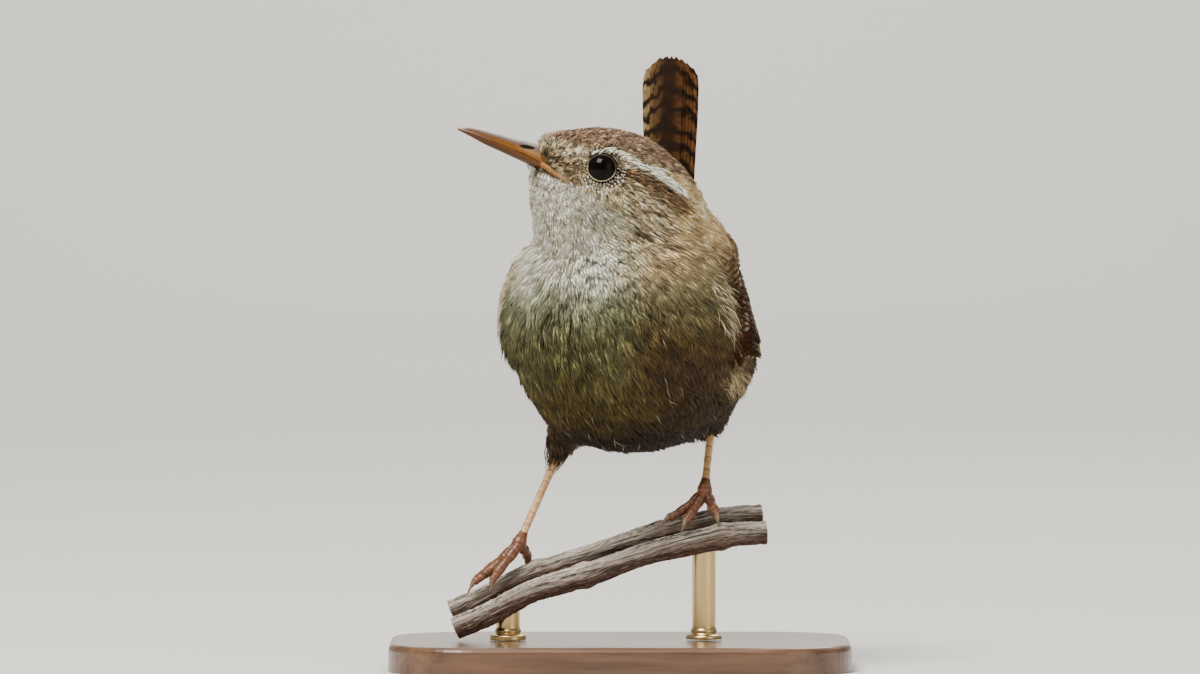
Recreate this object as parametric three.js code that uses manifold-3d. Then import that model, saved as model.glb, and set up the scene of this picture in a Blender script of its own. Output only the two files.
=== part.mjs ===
// A life-size Eurasian wren with its tail cocked, gripping a short length of twined stem on a display stand.
// Millimetres, +Z up. The origin is the centre of the stand's underside, and the bird looks towards -Y.
import * as THREE from "three";
import { mergeVertices } from "three/addons/utils/BufferGeometryUtils.js";
import Module from "manifold-3d";

const wasm = await Module();
wasm.setup();

// Driving dimensions of the bird
const TARSUS = 16.5;
const TAIL_FEATHER_LENGTH = 36.9;
const TAIL_FEATHER_WIDTH = 3.8;
const EYE_RADIUS = 2.35;
const EYE_OPENING_RADIUS = 1.95;
const BODY_TURN = THREE.MathUtils.degToRad(-15);
const HEAD_TURN = THREE.MathUtils.degToRad(-84);
const HEAD_TILT = THREE.MathUtils.degToRad(16);
const TAIL_LEAN = THREE.MathUtils.degToRad(7);

// Driving dimensions of what it stands on
const BACK_STEM_RADIUS = 1.4;
const FRONT_STEM_RADIUS = 1.6;
const BASE_LENGTH = 66;
const BASE_DEPTH = 44;
const BASE_THICKNESS = 4;
const BASE_CORNER = 12;
const ROD_RADIUS = 1.7;

// What keeps neighbours apart, and how thick a vane is
const GAP = 0.3;
const VANE = 0.5;

const COLOURS = {
  brown: 0x7a5636,
  buff: 0xa08a6c,
  rufous: 0x6d4125,
  horn: 0x8a6a55,
  orange: 0xb87434,
  skin: 0xa8684c,
  eye: 0x0c0a09,
  bark: 0x86786c,
  wood: 0x6a4a30,
  brass: 0xb08d4a,
};

function material(colour, roughness = 0.8, metalness = 0) {
  return new THREE.MeshStandardMaterial({ color: colour, roughness, metalness });
}

const wren = new THREE.Group();

function addNode(name, geometry, look) {
  const mesh = new THREE.Mesh(geometry, look);
  mesh.name = name;
  wren.add(mesh);
  return mesh;
}

// Solids for cutting and joining

// The surface alone, with each shared corner stored once.
function bare(geometry) {
  const surface = new THREE.BufferGeometry();
  surface.setAttribute("position", geometry.getAttribute("position"));
  surface.setIndex(geometry.index);
  return mergeVertices(surface, 1e-4);
}

function toSolid(geometry) {
  const merged = bare(geometry);
  return new wasm.Manifold(
    new wasm.Mesh({
      numProp: 3,
      vertProperties: new Float32Array(merged.attributes.position.array),
      triVerts: new Uint32Array(merged.index.array),
    }),
  );
}

function toGeometry(solid) {
  const mesh = solid.getMesh();
  const places = new Float32Array(mesh.numVert * 3);
  for (let i = 0; i < mesh.numVert; i++) {
    places.set(mesh.vertProperties.subarray(i * mesh.numProp, i * mesh.numProp + 3), i * 3);
  }
  const geometry = new THREE.BufferGeometry();
  geometry.setAttribute("position", new THREE.BufferAttribute(places, 3));
  geometry.setIndex(new THREE.BufferAttribute(new Uint32Array(mesh.triVerts), 1));
  geometry.computeVertexNormals();
  return geometry;
}

function joined(solids) {
  return solids.reduce((whole, next) => whole.add(next));
}

function largest(solid) {
  return solid.decompose().reduce((a, b) => (a.volume() > b.volume() ? a : b));
}

// A closed surface through rings of points that all have the same count, with a fan over each end.
function loft(rings) {
  const sides = rings[0].length;
  const middle = (ring) =>
    ring.reduce((sum, p) => sum.add(p), new THREE.Vector3()).multiplyScalar(1 / sides);
  const points = [...rings.flat(), middle(rings[0]), middle(rings.at(-1))];
  const first = points.length - 2;
  const last = points.length - 1;
  const faces = [];
  for (let r = 0; r < rings.length - 1; r++) {
    for (let s = 0; s < sides; s++) {
      const next = (s + 1) % sides;
      const [a, b] = [r * sides + s, r * sides + next];
      faces.push(a, b, b + sides, a, b + sides, a + sides);
    }
  }
  const end = (rings.length - 1) * sides;
  for (let s = 0; s < sides; s++) {
    const next = (s + 1) % sides;
    faces.push(first, next, s, last, end + s, end + next);
  }
  const geometry = new THREE.BufferGeometry().setFromPoints(points);
  geometry.setIndex(faces);
  return facingOut(geometry);
}

// The same surface with its faces turned round if they point inwards.
function facingOut(geometry) {
  const place = geometry.getAttribute("position");
  const index = geometry.index;
  const [a, b, c] = [new THREE.Vector3(), new THREE.Vector3(), new THREE.Vector3()];
  let volume = 0;
  for (let i = 0; i < index.count; i += 3) {
    a.fromBufferAttribute(place, index.getX(i));
    b.fromBufferAttribute(place, index.getX(i + 1));
    c.fromBufferAttribute(place, index.getX(i + 2));
    volume += a.dot(b.cross(c));
  }
  if (volume < 0) {
    for (let i = 0; i < index.count; i += 3) {
      const kept = index.getX(i + 1);
      index.setX(i + 1, index.getX(i + 2));
      index.setX(i + 2, kept);
    }
  }
  return geometry;
}

// A tube of changing thickness along a curve: a cylinder whose rings are moved to it.
// size(t) gives its half-width and half-height.
function tube(curve, size, steps, sides, upward = new THREE.Vector3(0, 0, 1)) {
  const cylinder = bare(new THREE.CylinderGeometry(1, 1, 1, sides, steps));
  const place = cylinder.getAttribute("position");
  for (let i = 0; i < place.count; i++) {
    const t = Math.round((0.5 - place.getY(i)) * steps) / steps;
    const along = curve.getTangent(t);
    const across = new THREE.Vector3().crossVectors(along, upward).normalize();
    const up = new THREE.Vector3().crossVectors(across, along).normalize();
    const [wide, high] = size(t);
    const point = curve
      .getPoint(t)
      .addScaledVector(across, wide * place.getX(i))
      .addScaledVector(up, high * place.getZ(i));
    place.setXYZ(i, point.x, point.y, point.z);
  }
  return facingOut(cylinder);
}

function smoothCurve(points) {
  return new THREE.CatmullRomCurve3(points, false, "centripetal");
}

// Straight lines between the given [at, value] pairs.
function eased(pairs, at) {
  if (at <= pairs[0][0]) return pairs[0][1];
  for (let i = 1; i < pairs.length; i++) {
    const [x0, v0] = pairs[i - 1];
    const [x1, v1] = pairs[i];
    if (at <= x1) {
      const t = (at - x0) / (x1 - x0);
      return v0 + (v1 - v0) * t;
    }
  }
  return pairs.at(-1)[1];
}

// Frames of the body and the head: x to the bird's left, y to its back, z up

const bodyFrame = new THREE.Matrix4()
  .makeRotationZ(BODY_TURN)
  .setPosition(1.2, 0, 0);
const headFrame = new THREE.Matrix4()
  .makeRotationFromEuler(new THREE.Euler(-HEAD_TILT, 0, HEAD_TURN, "ZXY"))
  .setPosition(-1.5, -5.5, 69.8);

function onBody(x, y, z) {
  return new THREE.Vector3(x, y, z).applyMatrix4(bodyFrame);
}

function onHead(x, y, z) {
  return new THREE.Vector3(x, y, z).applyMatrix4(headFrame);
}

// The plumage is a smooth skin over these lobes: middle, half sizes and forward pitch in degrees

const BODY_LOBES = [
  { part: "breast", at: [0.2, -5, 49.5], half: [16.1, 12.5, 13], pitch: 0 },
  { part: "belly", at: [0, 2, 45.2], half: [16.4, 16, 14.4], pitch: 0 },
  { part: "shoulders", at: [-0.3, -3, 55.6], half: [14.7, 10, 8], pitch: 0 },
  { part: "mantle", at: [1.4, 2, 59.6], half: [11.9, 10.5, 7], pitch: -20 },
  { part: "back", at: [0, 8, 53], half: [13, 14, 8.5], pitch: -10 },
  { part: "left flank", at: [3, 9, 43.6], half: [13, 9.5, 7.5], pitch: 10 },
  { part: "right flank", at: [-1, 10, 46], half: [13.2, 11, 8.5], pitch: 10 },
  { part: "rump", at: [0, 16, 51.5], half: [9.5, 10.5, 7.5], pitch: -10 },
  { part: "neck", at: [1.5, -3, 64], half: [8.6, 7.4, 7], pitch: 0 },
];
const HEAD_LOBES = [
  { part: "skull", at: [0, 0.8, 0.4], half: [6.6, 9.4, 6.8], pitch: 0 },
  { part: "cheeks", at: [0, -1.5, -2.8], half: [6.1, 7, 4.4], pitch: 0 },
  { part: "forehead", at: [0, -7.6, 1.5], half: [2.9, 3.6, 2.7], pitch: 0 },
  { part: "chin", at: [0, -7.5, -2.9], half: [3, 2.3, 2.9], pitch: 0 },
  { part: "upper throat", at: [0, -4.9, -6], half: [4.8, 3.4, 4], pitch: 0 },
  { part: "throat", at: [0, -3.5, -8.4], half: [6, 3.7, 5], pitch: 0 },
  { part: "nape", at: [0, 8.4, -2], half: [6, 5.4, 5.4], pitch: 0 },
  { part: "left brow", at: [4.4, -1, 3.7], half: [1.8, 4.6, 1.3], pitch: 0 },
  { part: "right brow", at: [-4.4, -1, 3.7], half: [1.8, 4.6, 1.3], pitch: 0 },
  { part: "left ear coverts", at: [4.7, 3, -2.6], half: [1.9, 3.6, 2.8], pitch: 0 },
  { part: "right ear coverts", at: [-4.7, 3, -2.6], half: [1.9, 3.6, 2.8], pitch: 0 },
];
const BLEND = 1.3;
const WING_LOBE = { part: "wing sheet", at: [0, 7, 49], half: [13.1, 26.5, 10], pitch: 0 };

function lobeIn(frame, { at, half, pitch }) {
  const place = new THREE.Matrix4()
    .makeRotationX(THREE.MathUtils.degToRad(pitch))
    .setPosition(...at);
  return {
    inverse: frame.clone().multiply(place).invert(),
    half: new THREE.Vector3(...half),
  };
}

// About how far a point lies outside a lobe, and below zero inside it.
function distanceTo(lobe, point) {
  const local = point.clone().applyMatrix4(lobe.inverse).divide(lobe.half);
  const reach = local.length();
  const slope = local.clone().divide(lobe.half).length();
  return slope > 1e-9 ? (reach * (reach - 1)) / slope : -lobe.half.x;
}

function blended(lobes, point) {
  const sum = lobes.reduce((s, lobe) => s + Math.exp(-distanceTo(lobe, point) / BLEND), 0);
  return -BLEND * Math.log(sum);
}

const plumage = [
  ...BODY_LOBES.map((lobe) => lobeIn(bodyFrame, lobe)),
  ...HEAD_LOBES.map((lobe) => lobeIn(headFrame, lobe)),
];
const wingSheet = [
  ...BODY_LOBES.map((lobe) => lobeIn(bodyFrame, lobe)),
  lobeIn(bodyFrame, WING_LOBE),
];

// Where a ray from inside leaves the skin that lies "lift" outside the lobes.
function surfaceAlong(lobes, from, direction, lift) {
  const FAR = 48;
  const STEP = 0.8;
  const at = (r) => blended(lobes, from.clone().addScaledVector(direction, r)) - lift;
  let high = FAR;
  while (high > STEP && at(high - STEP) > 0) high -= STEP;
  let low = high - STEP;
  for (let i = 0; i < 18; i++) {
    const middle = (low + high) / 2;
    if (at(middle) > 0) high = middle;
    else low = middle;
  }
  return from.clone().addScaledVector(direction, high);
}

// The way straight out of the skin over the lobes near a point.
function wayOut(lobes, point) {
  const STEP = 0.05;
  const at = (x, y, z) => blended(lobes, point.clone().add(new THREE.Vector3(x, y, z)));
  return new THREE.Vector3(
    at(STEP, 0, 0) - at(-STEP, 0, 0),
    at(0, STEP, 0) - at(0, -STEP, 0),
    at(0, 0, STEP) - at(0, 0, -STEP),
  ).normalize();
}

// The whole plumage as one closed surface, pushed out by lift. A ball's corners are moved out to it,
// and they lie closest together on the head.
const HEART = onBody(0, -3, 58);
const TOWARDS_HEAD = new THREE.Vector3(-0.1, -0.08, 0.27);
const SKIN_DETAIL = 10;

function plumageSolid(lift) {
  const geometry = bare(new THREE.IcosahedronGeometry(1, SKIN_DETAIL));
  const place = geometry.getAttribute("position");
  const direction = new THREE.Vector3();
  for (let i = 0; i < place.count; i++) {
    direction.fromBufferAttribute(place, i).normalize().add(TOWARDS_HEAD).normalize();
    const point = surfaceAlong(plumage, HEART, direction, lift);
    place.setXYZ(i, point.x, point.y, point.z);
  }
  return toSolid(geometry);
}

const flesh = plumageSolid(0);
const fleshAndGap = plumageSolid(GAP + 0.06);

// What it stands on: a low base, two rods and two twined lengths of stem

const BACK_STEM_TOP = [
  [-24.3, 9.5],
  [-19.2, 11.7],
  [-13.4, 14.8],
  [-9.2, 16.1],
  [-4.3, 17.6],
  [1.2, 19.6],
  [5.7, 20.9],
  [14.5, 22.9],
  [20.5, 23.4],
];
const backStemCurve = smoothCurve(
  BACK_STEM_TOP.map(([x, z]) => new THREE.Vector3(x, -1, z - BACK_STEM_RADIUS)),
);
const frontStemCurve = smoothCurve(
  BACK_STEM_TOP.map(
    ([x, z], i) => new THREE.Vector3(x + 0.6, -3.7 - 0.3 * Math.sin(i), z - BACK_STEM_RADIUS - 2.4),
  ),
);

function stem(curve, radius, knots, grown = 0) {
  const size = (t) => {
    const knot = knots.reduce((sum, at) => sum + Math.exp(-(((t - at) / 0.02) ** 2)), 0);
    const r = radius * (1 + 0.05 * Math.sin(t * 17)) + 0.3 * knot + grown;
    return [r, r];
  };
  return toSolid(tube(curve, size, 20, 8));
}

const BACK_KNOTS = [0.3, 0.72];
const FRONT_KNOTS = [0.45, 0.86];
const backStem = stem(backStemCurve, BACK_STEM_RADIUS, BACK_KNOTS);
const backStemAndGap = stem(backStemCurve, BACK_STEM_RADIUS, BACK_KNOTS, GAP);
const frontStemAndGap = stem(frontStemCurve, FRONT_STEM_RADIUS, FRONT_KNOTS, GAP);
const frontStem = largest(
  stem(frontStemCurve, FRONT_STEM_RADIUS, FRONT_KNOTS).subtract(backStemAndGap),
);
addNode("perch_back", toGeometry(backStem), material(COLOURS.bark, 0.9));
addNode("perch_front", toGeometry(frontStem), material(COLOURS.bark, 0.9));

function roundedBase() {
  const outline = new THREE.Shape();
  const [x, y, r] = [BASE_LENGTH / 2, BASE_DEPTH / 2, BASE_CORNER];
  outline.moveTo(-x + r, -y);
  outline.lineTo(x - r, -y);
  outline.absarc(x - r, -y + r, r, -Math.PI / 2, 0);
  outline.lineTo(x, y - r);
  outline.absarc(x - r, y - r, r, 0, Math.PI / 2);
  outline.lineTo(-x + r, y);
  outline.absarc(-x + r, y - r, r, Math.PI / 2, Math.PI);
  outline.lineTo(-x, -y + r);
  outline.absarc(-x + r, -y + r, r, Math.PI, 1.5 * Math.PI);
  const BEVEL = 0.8;
  const slab = new THREE.ExtrudeGeometry(outline, {
    depth: BASE_THICKNESS - BEVEL,
    bevelEnabled: true,
    bevelSegments: 1,
    bevelSize: BEVEL,
    bevelThickness: BEVEL,
    bevelOffset: -BEVEL,
    curveSegments: 4,
  });
  const solid = toSolid(slab);
  const ABOVE = new THREE.BoxGeometry(200, 200, 20).translate(0, 0, 10);
  return toSolid(ABOVE).intersect(solid);
}

const ROD_PLACES = [
  { name: "stand_rod_left", x: -16, y: -2.2, top: 12 },
  { name: "stand_rod_right", x: 12, y: -2.2, top: 20.4 },
];
const ROD_FOOT = 1.5;

function rod(place, grown = 0) {
  const height = place.top - ROD_FOOT + grown;
  const bar = new THREE.CylinderGeometry(ROD_RADIUS + grown, ROD_RADIUS + grown, height, 12);
  bar.rotateX(Math.PI / 2);
  bar.translate(place.x, place.y, ROD_FOOT - grown + height / 2);
  return toSolid(bar);
}

let standBase = roundedBase();
for (const place of ROD_PLACES) {
  standBase = standBase.subtract(rod(place, GAP));
  const cut = rod(place).subtract(backStemAndGap).subtract(frontStemAndGap);
  addNode(place.name, toGeometry(largest(cut)), material(COLOURS.brass, 0.35, 0.9));
}
addNode("stand_base", toGeometry(standBase), material(COLOURS.wood, 0.6));

// Legs: where the toes meet, the way up from there to the heel, and the feathered thigh

const LEGS = [
  {
    side: "right",
    toeBase: new THREE.Vector3(-14.4, -2, 18),
    rise: new THREE.Vector3(5.3, 10.2, 11.8),
    thigh: { top: [-7.4, 4.8, 35.5], low: [-8.9, 7.8, 30.3], radii: [3.1, 2.3, 1] },
    toes: [
      {
        way: [[-14.8, -2.3, 17.6], [-16.9, -2.9, 15.5], [-19.3, -3.1, 13.5], [-21, -3.2, 12.3]],
        claw: [-21.9, -3.6, 10.6],
      },
      {
        way: [[-14.6, -2.6, 17.5], [-16.1, -3.6, 15.6], [-17.5, -4.4, 13.8], [-18.3, -4.9, 12.6]],
        claw: [-18.6, -5.5, 10.9],
      },
      {
        way: [[-14.9, -1.9, 17.5], [-16.8, -1.3, 15.7], [-18.9, -0.6, 14], [-20.7, 0.2, 12.6]],
        claw: [-21.8, 0.9, 11],
      },
      {
        way: [[-14.2, -1.6, 17.5], [-13.6, -0.7, 16.7], [-13.3, 0.7, 15.9], [-13.1, 1.5, 14.8]],
        claw: [-13.4, 1.9, 13.4],
      },
    ],
  },
  {
    side: "left",
    toeBase: new THREE.Vector3(12.1, -2, 25.6),
    rise: new THREE.Vector3(1.5, 10, 12.8),
    thigh: { top: [12.2, 5.9, 37], low: [12.6, 4.2, 33.3], radii: [3.4, 2.6, 1.1] },
    toes: [
      {
        way: [[11.8, -2.3, 25.1], [10.4, -2.9, 23.8], [8.5, -3.3, 22.4], [6.8, -3.5, 21.6]],
        claw: [5.4, -4, 19.9],
      },
      {
        way: [[11.9, -2.5, 25], [11, -3.5, 23.5], [10, -4.6, 22], [9.2, -5.2, 21.1]],
        claw: [8.7, -5.8, 19.4],
      },
      {
        way: [[12.4, -2.4, 25], [13, -3.3, 23.7], [13.5, -4.3, 22.7], [13.8, -4.9, 21.9]],
        claw: [14, -5.5, 20.4],
      },
      {
        way: [[12.2, -1.6, 25], [12.6, -0.7, 24.4], [12.9, 0.8, 23.8], [13, 1.6, 22.6]],
        claw: [13, 2, 20.9],
      },
    ],
  },
];
const TARSUS_RADIUS = 0.58;
const KNUCKLE_RADIUS = 0.95;

function heelOf({ toeBase, rise }) {
  return toeBase.clone().addScaledVector(rise.clone().normalize(), TARSUS);
}

function tarsusTube(leg, grown = 0) {
  const { toeBase } = leg;
  const heel = heelOf(leg);
  const along = toeBase.clone().sub(heel).normalize();
  const from = heel.clone().addScaledVector(along, -0.8 - grown);
  const line = new THREE.LineCurve3(from, toeBase.clone());
  const thickness = [
    [0, 0.75],
    [0.06, 0.95],
    [0.14, 0.66],
    [0.3, TARSUS_RADIUS],
    [0.8, TARSUS_RADIUS - 0.02],
    [0.92, 0.7],
    [1, 0.85],
  ];
  const size = (t) => [eased(thickness, t) + grown, eased(thickness, t) * 1.1 + grown];
  return toSolid(tube(line, size, 10, 8));
}

function toeTube({ way, claw }) {
  const points = [...way, claw].map((p) => new THREE.Vector3(...p));
  const thickness = [
    [0, 0.74],
    [0.25, 0.58],
    [0.36, 0.66],
    [0.5, 0.54],
    [0.6, 0.6],
    [0.76, 0.46],
    [0.84, 0.36],
    [1, 0.1],
  ];
  const size = (t) => [eased(thickness, t), eased(thickness, t) * 1.05];
  return toSolid(tube(smoothCurve(points), size, 10, 6, new THREE.Vector3(0.31, -0.8, 0.5)));
}

function ball(radius, at, detail = 2) {
  const sphere = new THREE.IcosahedronGeometry(radius, detail).translate(at.x, at.y, at.z);
  return toSolid(sphere);
}

function thighTube({ thigh }, grown = 0) {
  const [top, low] = [new THREE.Vector3(...thigh.top), new THREE.Vector3(...thigh.low)];
  const line = new THREE.LineCurve3(top, low);
  const [r0, r1, r2] = thigh.radii;
  const size = (t) => {
    const r = eased([[0, r0], [0.5, r1], [1, r2]], t) + grown;
    return [r, r];
  };
  return toSolid(tube(line, size, 4, 10));
}

const bodyHollows = [];
for (const leg of LEGS) {
  const tarsusAndGap = tarsusTube(leg, GAP);
  const knuckle = ball(KNUCKLE_RADIUS, leg.toeBase, 1);
  const foot = joined([knuckle, ...leg.toes.map(toeTube)])
    .subtract(backStemAndGap)
    .subtract(frontStemAndGap);
  const knuckleAndGap = ball(KNUCKLE_RADIUS + GAP, leg.toeBase, 1);
  const footLook = material(COLOURS.skin, 0.6);
  addNode("foot_" + leg.side, toGeometry(largest(foot)), footLook);
  addNode(
    "tarsus_" + leg.side,
    toGeometry(largest(tarsusTube(leg).subtract(knuckleAndGap))),
    material(COLOURS.skin, 0.6),
  );
  addNode(
    "thigh_" + leg.side,
    toGeometry(largest(thighTube(leg).subtract(tarsusAndGap))),
    material(COLOURS.buff),
  );
  bodyHollows.push(tarsusAndGap, thighTube(leg, GAP));
}

// Bill: heights of the culmen, the mouth line and the lower edge at each distance ahead of the skull's middle

const BILL_UPPER = [
  { ahead: 6.2, ridge: 1.9, mouth: -1.6, half: 1.9, lip: 4.2 },
  { ahead: 8, ridge: 2.3, mouth: -0.95, half: 1.9, lip: 3.2 },
  { ahead: 10, ridge: 2.36, mouth: -0.32, half: 1.75, lip: 2.3 },
  { ahead: 12, ridge: 2.3, mouth: 0.14, half: 1.5, lip: 1.7 },
  { ahead: 14.4, ridge: 2.14, mouth: 0.46, half: 1.2, lip: 1.35 },
  { ahead: 18, ridge: 2, mouth: 0.92, half: 0.78, lip: 0.88 },
  { ahead: 21, ridge: 1.86, mouth: 1.24, half: 0.38, lip: 0.42 },
  { ahead: 22.9, ridge: 1.42, mouth: 1.22, half: 0.1, lip: 0.1 },
];
const BILL_LOWER = [
  { ahead: 6.2, keel: -2.6, half: 1.7 },
  { ahead: 8, keel: -1.9, half: 1.7 },
  { ahead: 10, keel: -1.42, half: 1.55 },
  { ahead: 12, keel: -1, half: 1.35 },
  { ahead: 14.4, keel: -0.6, half: 1.05 },
  { ahead: 18, keel: -0.05, half: 0.65 },
  { ahead: 21, keel: 0.6, half: 0.3 },
  { ahead: 22.3, keel: 0.72, half: 0.08 },
];

function upperSection({ ridge, mouth, half, lip }) {
  const rise = ridge - mouth;
  const side = [
    [lip, mouth],
    [(lip + half) / 2, mouth + rise * 0.16],
    [half, mouth + rise * 0.45],
    [half * 0.62, mouth + rise * 0.82],
  ];
  return [...side, [0, ridge], ...mirrored(side), [0, mouth + rise * 0.04]];
}

function lowerSection({ ahead, keel, half }) {
  const mouth = eased(BILL_UPPER.map((b) => [b.ahead, b.mouth]), ahead) - GAP;
  const lip = eased(BILL_UPPER.map((b) => [b.ahead, b.lip]), ahead) * 0.97;
  const drop = Math.max(mouth - keel, 0.1);
  const side = [
    [lip, mouth],
    [(lip + half) / 2, mouth - drop * 0.25],
    [half * 0.75, mouth - drop * 0.75],
  ];
  return [...side, [0, mouth - drop], ...mirrored(side), [0, mouth]];
}

function mirrored(side) {
  return side.map(([x, z]) => [-x, z]).reverse();
}

// A closed outline with each corner moved out along the middle of its two sides' ways out.
function outset(points, by) {
  const outline = points.map(([x, z]) => new THREE.Vector2(x, z));
  const turn = Math.sign(THREE.ShapeUtils.area(outline));
  const wayOutOf = (a, b) => new THREE.Vector2(b.y - a.y, a.x - b.x).multiplyScalar(turn).normalize();
  return outline.map((corner, i) => {
    const before = wayOutOf(outline.at(i - 1), corner);
    const after = wayOutOf(corner, outline[(i + 1) % outline.length]);
    const share = Math.max(1 + before.dot(after), 0.5);
    const moved = corner.clone().addScaledVector(before.add(after), by / share);
    return [moved.x, moved.y];
  });
}

// One half of the bill as a solid, pushed out by grown.
function billSolid(stations, section, grown = 0) {
  const rings = stations.map((station, i) => {
    const ahead = station.ahead - (i === 0 ? grown : 0);
    return outset(section(station), grown).map(([x, z]) => onHead(x, -ahead, z));
  });
  return toSolid(loft(rings));
}

// The hole in the face that the bill stands in, clear of both halves.
function billHollow() {
  return joined([
    billSolid(BILL_UPPER, upperSection, 1.3 * GAP),
    billSolid(BILL_LOWER, lowerSection, 1.3 * GAP),
  ]);
}

const NOSTRIL = { ahead: 13, up: 1.35, half: [0.5, 1.1, 0.24] };

function nostril(side) {
  const slot = new THREE.IcosahedronGeometry(1, 1);
  slot.scale(...NOSTRIL.half);
  slot.rotateX(0.06);
  slot.translate(side * 1.35, -NOSTRIL.ahead, NOSTRIL.up);
  return toSolid(slot.applyMatrix4(headFrame));
}

addNode(
  "bill_upper",
  toGeometry(largest(billSolid(BILL_UPPER, upperSection).subtract(nostril(1)).subtract(nostril(-1)))),
  material(COLOURS.horn, 0.45),
);
addNode("bill_lower", toGeometry(billSolid(BILL_LOWER, lowerSection)), material(COLOURS.orange, 0.45));

// Eyes in their sockets, each with a raised rim of lid round it

const EYE_LEVEL = { back: -2.3, up: 1.3 };
const EYE_SUNK = 1.35;

function eyePlace(side) {
  const middle = onHead(0, EYE_LEVEL.back, EYE_LEVEL.up);
  const sideways = onHead(side, EYE_LEVEL.back, EYE_LEVEL.up).sub(middle);
  const surface = surfaceAlong(plumage, middle, sideways, 0);
  const out = wayOut(plumage, surface);
  return { surface, out, centre: surface.clone().addScaledVector(out, -EYE_SUNK) };
}

function eyeball(side, radius) {
  return ball(radius, eyePlace(side).centre, 3);
}

function lid(side) {
  const { surface, out } = eyePlace(side);
  const ring = new THREE.TorusGeometry(EYE_OPENING_RADIUS + 0.5, 0.5, 6, 18);
  ring.applyQuaternion(new THREE.Quaternion().setFromUnitVectors(new THREE.Vector3(0, 0, 1), out));
  ring.translate(surface.x, surface.y, surface.z);
  return toSolid(ring);
}

// The plumage parted into head, neck and torso by two thin cuts

function thinCut(at, tiltX, tiltY) {
  const slab = new THREE.BoxGeometry(90, 90, GAP);
  slab.rotateX(tiltX);
  slab.rotateY(tiltY);
  slab.translate(...at);
  return toSolid(slab);
}

const HEAD_CUT = thinCut([-2, -6, 64], 0.12, 0.22);
const NECK_CUT = thinCut([0, -2, 60.2], 0.28, 0.1);

const parted = flesh
  .subtract(HEAD_CUT)
  .subtract(NECK_CUT)
  .decompose()
  .filter((piece) => piece.volume() > 60)
  .sort((a, b) => a.boundingBox().max[2] - b.boundingBox().max[2]);
const [torsoWhole, neckWhole, headWhole] = parted;

let headBody = headWhole;
for (const side of [1, -1]) {
  headBody = headBody.add(lid(side)).subtract(eyeball(side, EYE_RADIUS + GAP));
  const name = side > 0 ? "eye_left" : "eye_right";
  addNode(name, toGeometry(eyeball(side, EYE_RADIUS)), material(COLOURS.eye, 0.1));
}
headBody = largest(headBody.subtract(billHollow()));
const torsoBody = bodyHollows.reduce((body, hollow) => body.subtract(hollow), torsoWhole);

addNode("head", toGeometry(headBody), material(COLOURS.brown));
addNode("neck", toGeometry(largest(neckWhole)), material(COLOURS.buff));
addNode("torso", toGeometry(largest(torsoBody)), material(COLOURS.buff));

// Feathers: a vane is a thin plate of a few steps from root to tip, its two faces split alike.
// place(t, s) gives the middle of its thickness and the way out, t from root to tip, s from edge to edge.

const VANE_PROFILE = [
  [0, 0.6],
  [0.25, 0.9],
  [0.7, 1],
  [0.9, 0.74],
  [1, 0.28],
];

function vane(place, steps, columns = 2) {
  const points = [];
  const faces = [];
  const row = 2 * (columns + 1);
  for (let i = 0; i <= steps; i++) {
    const half = (VANE / 2) * (i === steps ? 0.7 : 1);
    for (let j = 0; j <= columns; j++) {
      const { point, out } = place(i / steps, (2 * j) / columns - 1);
      points.push(point.clone().addScaledVector(out, half));
      points.push(point.clone().addScaledVector(out, -half));
    }
  }
  const quad = (a, b, c, d) => faces.push(a, b, c, a, c, d);
  for (let i = 0; i < steps; i++) {
    for (let j = 0; j < columns; j++) {
      const a = i * row + 2 * j;
      const [b, c, d] = [a + row, a + row + 2, a + 2];
      faces.push(a, b, c, a, c, d, a + 1, c + 1, b + 1, a + 1, d + 1, c + 1);
    }
    const near = i * row;
    const far = near + 2 * columns;
    quad(near, near + 1, near + row + 1, near + row);
    quad(far, far + row, far + row + 1, far + 1);
  }
  const last = steps * row;
  for (let j = 0; j < columns; j++) {
    const a = 2 * j;
    quad(a, a + 2, a + 3, a + 1);
    quad(last + a, last + a + 1, last + a + 3, last + a + 2);
  }
  const geometry = new THREE.BufferGeometry().setFromPoints(points);
  geometry.setIndex(faces);
  return toSolid(facingOut(geometry));
}

// Wings lie on a sheet over the flanks: back along the body, and up round it in degrees

const WING_AXIS_UP = 49.5;

function onWing(side, back, turn, lift) {
  const axis = onBody(0, back, WING_AXIS_UP);
  const angle = THREE.MathUtils.degToRad(turn);
  const outward = onBody(side * Math.cos(angle), back, WING_AXIS_UP + Math.sin(angle)).sub(axis);
  return surfaceAlong(wingSheet, axis, outward, lift);
}

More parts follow.
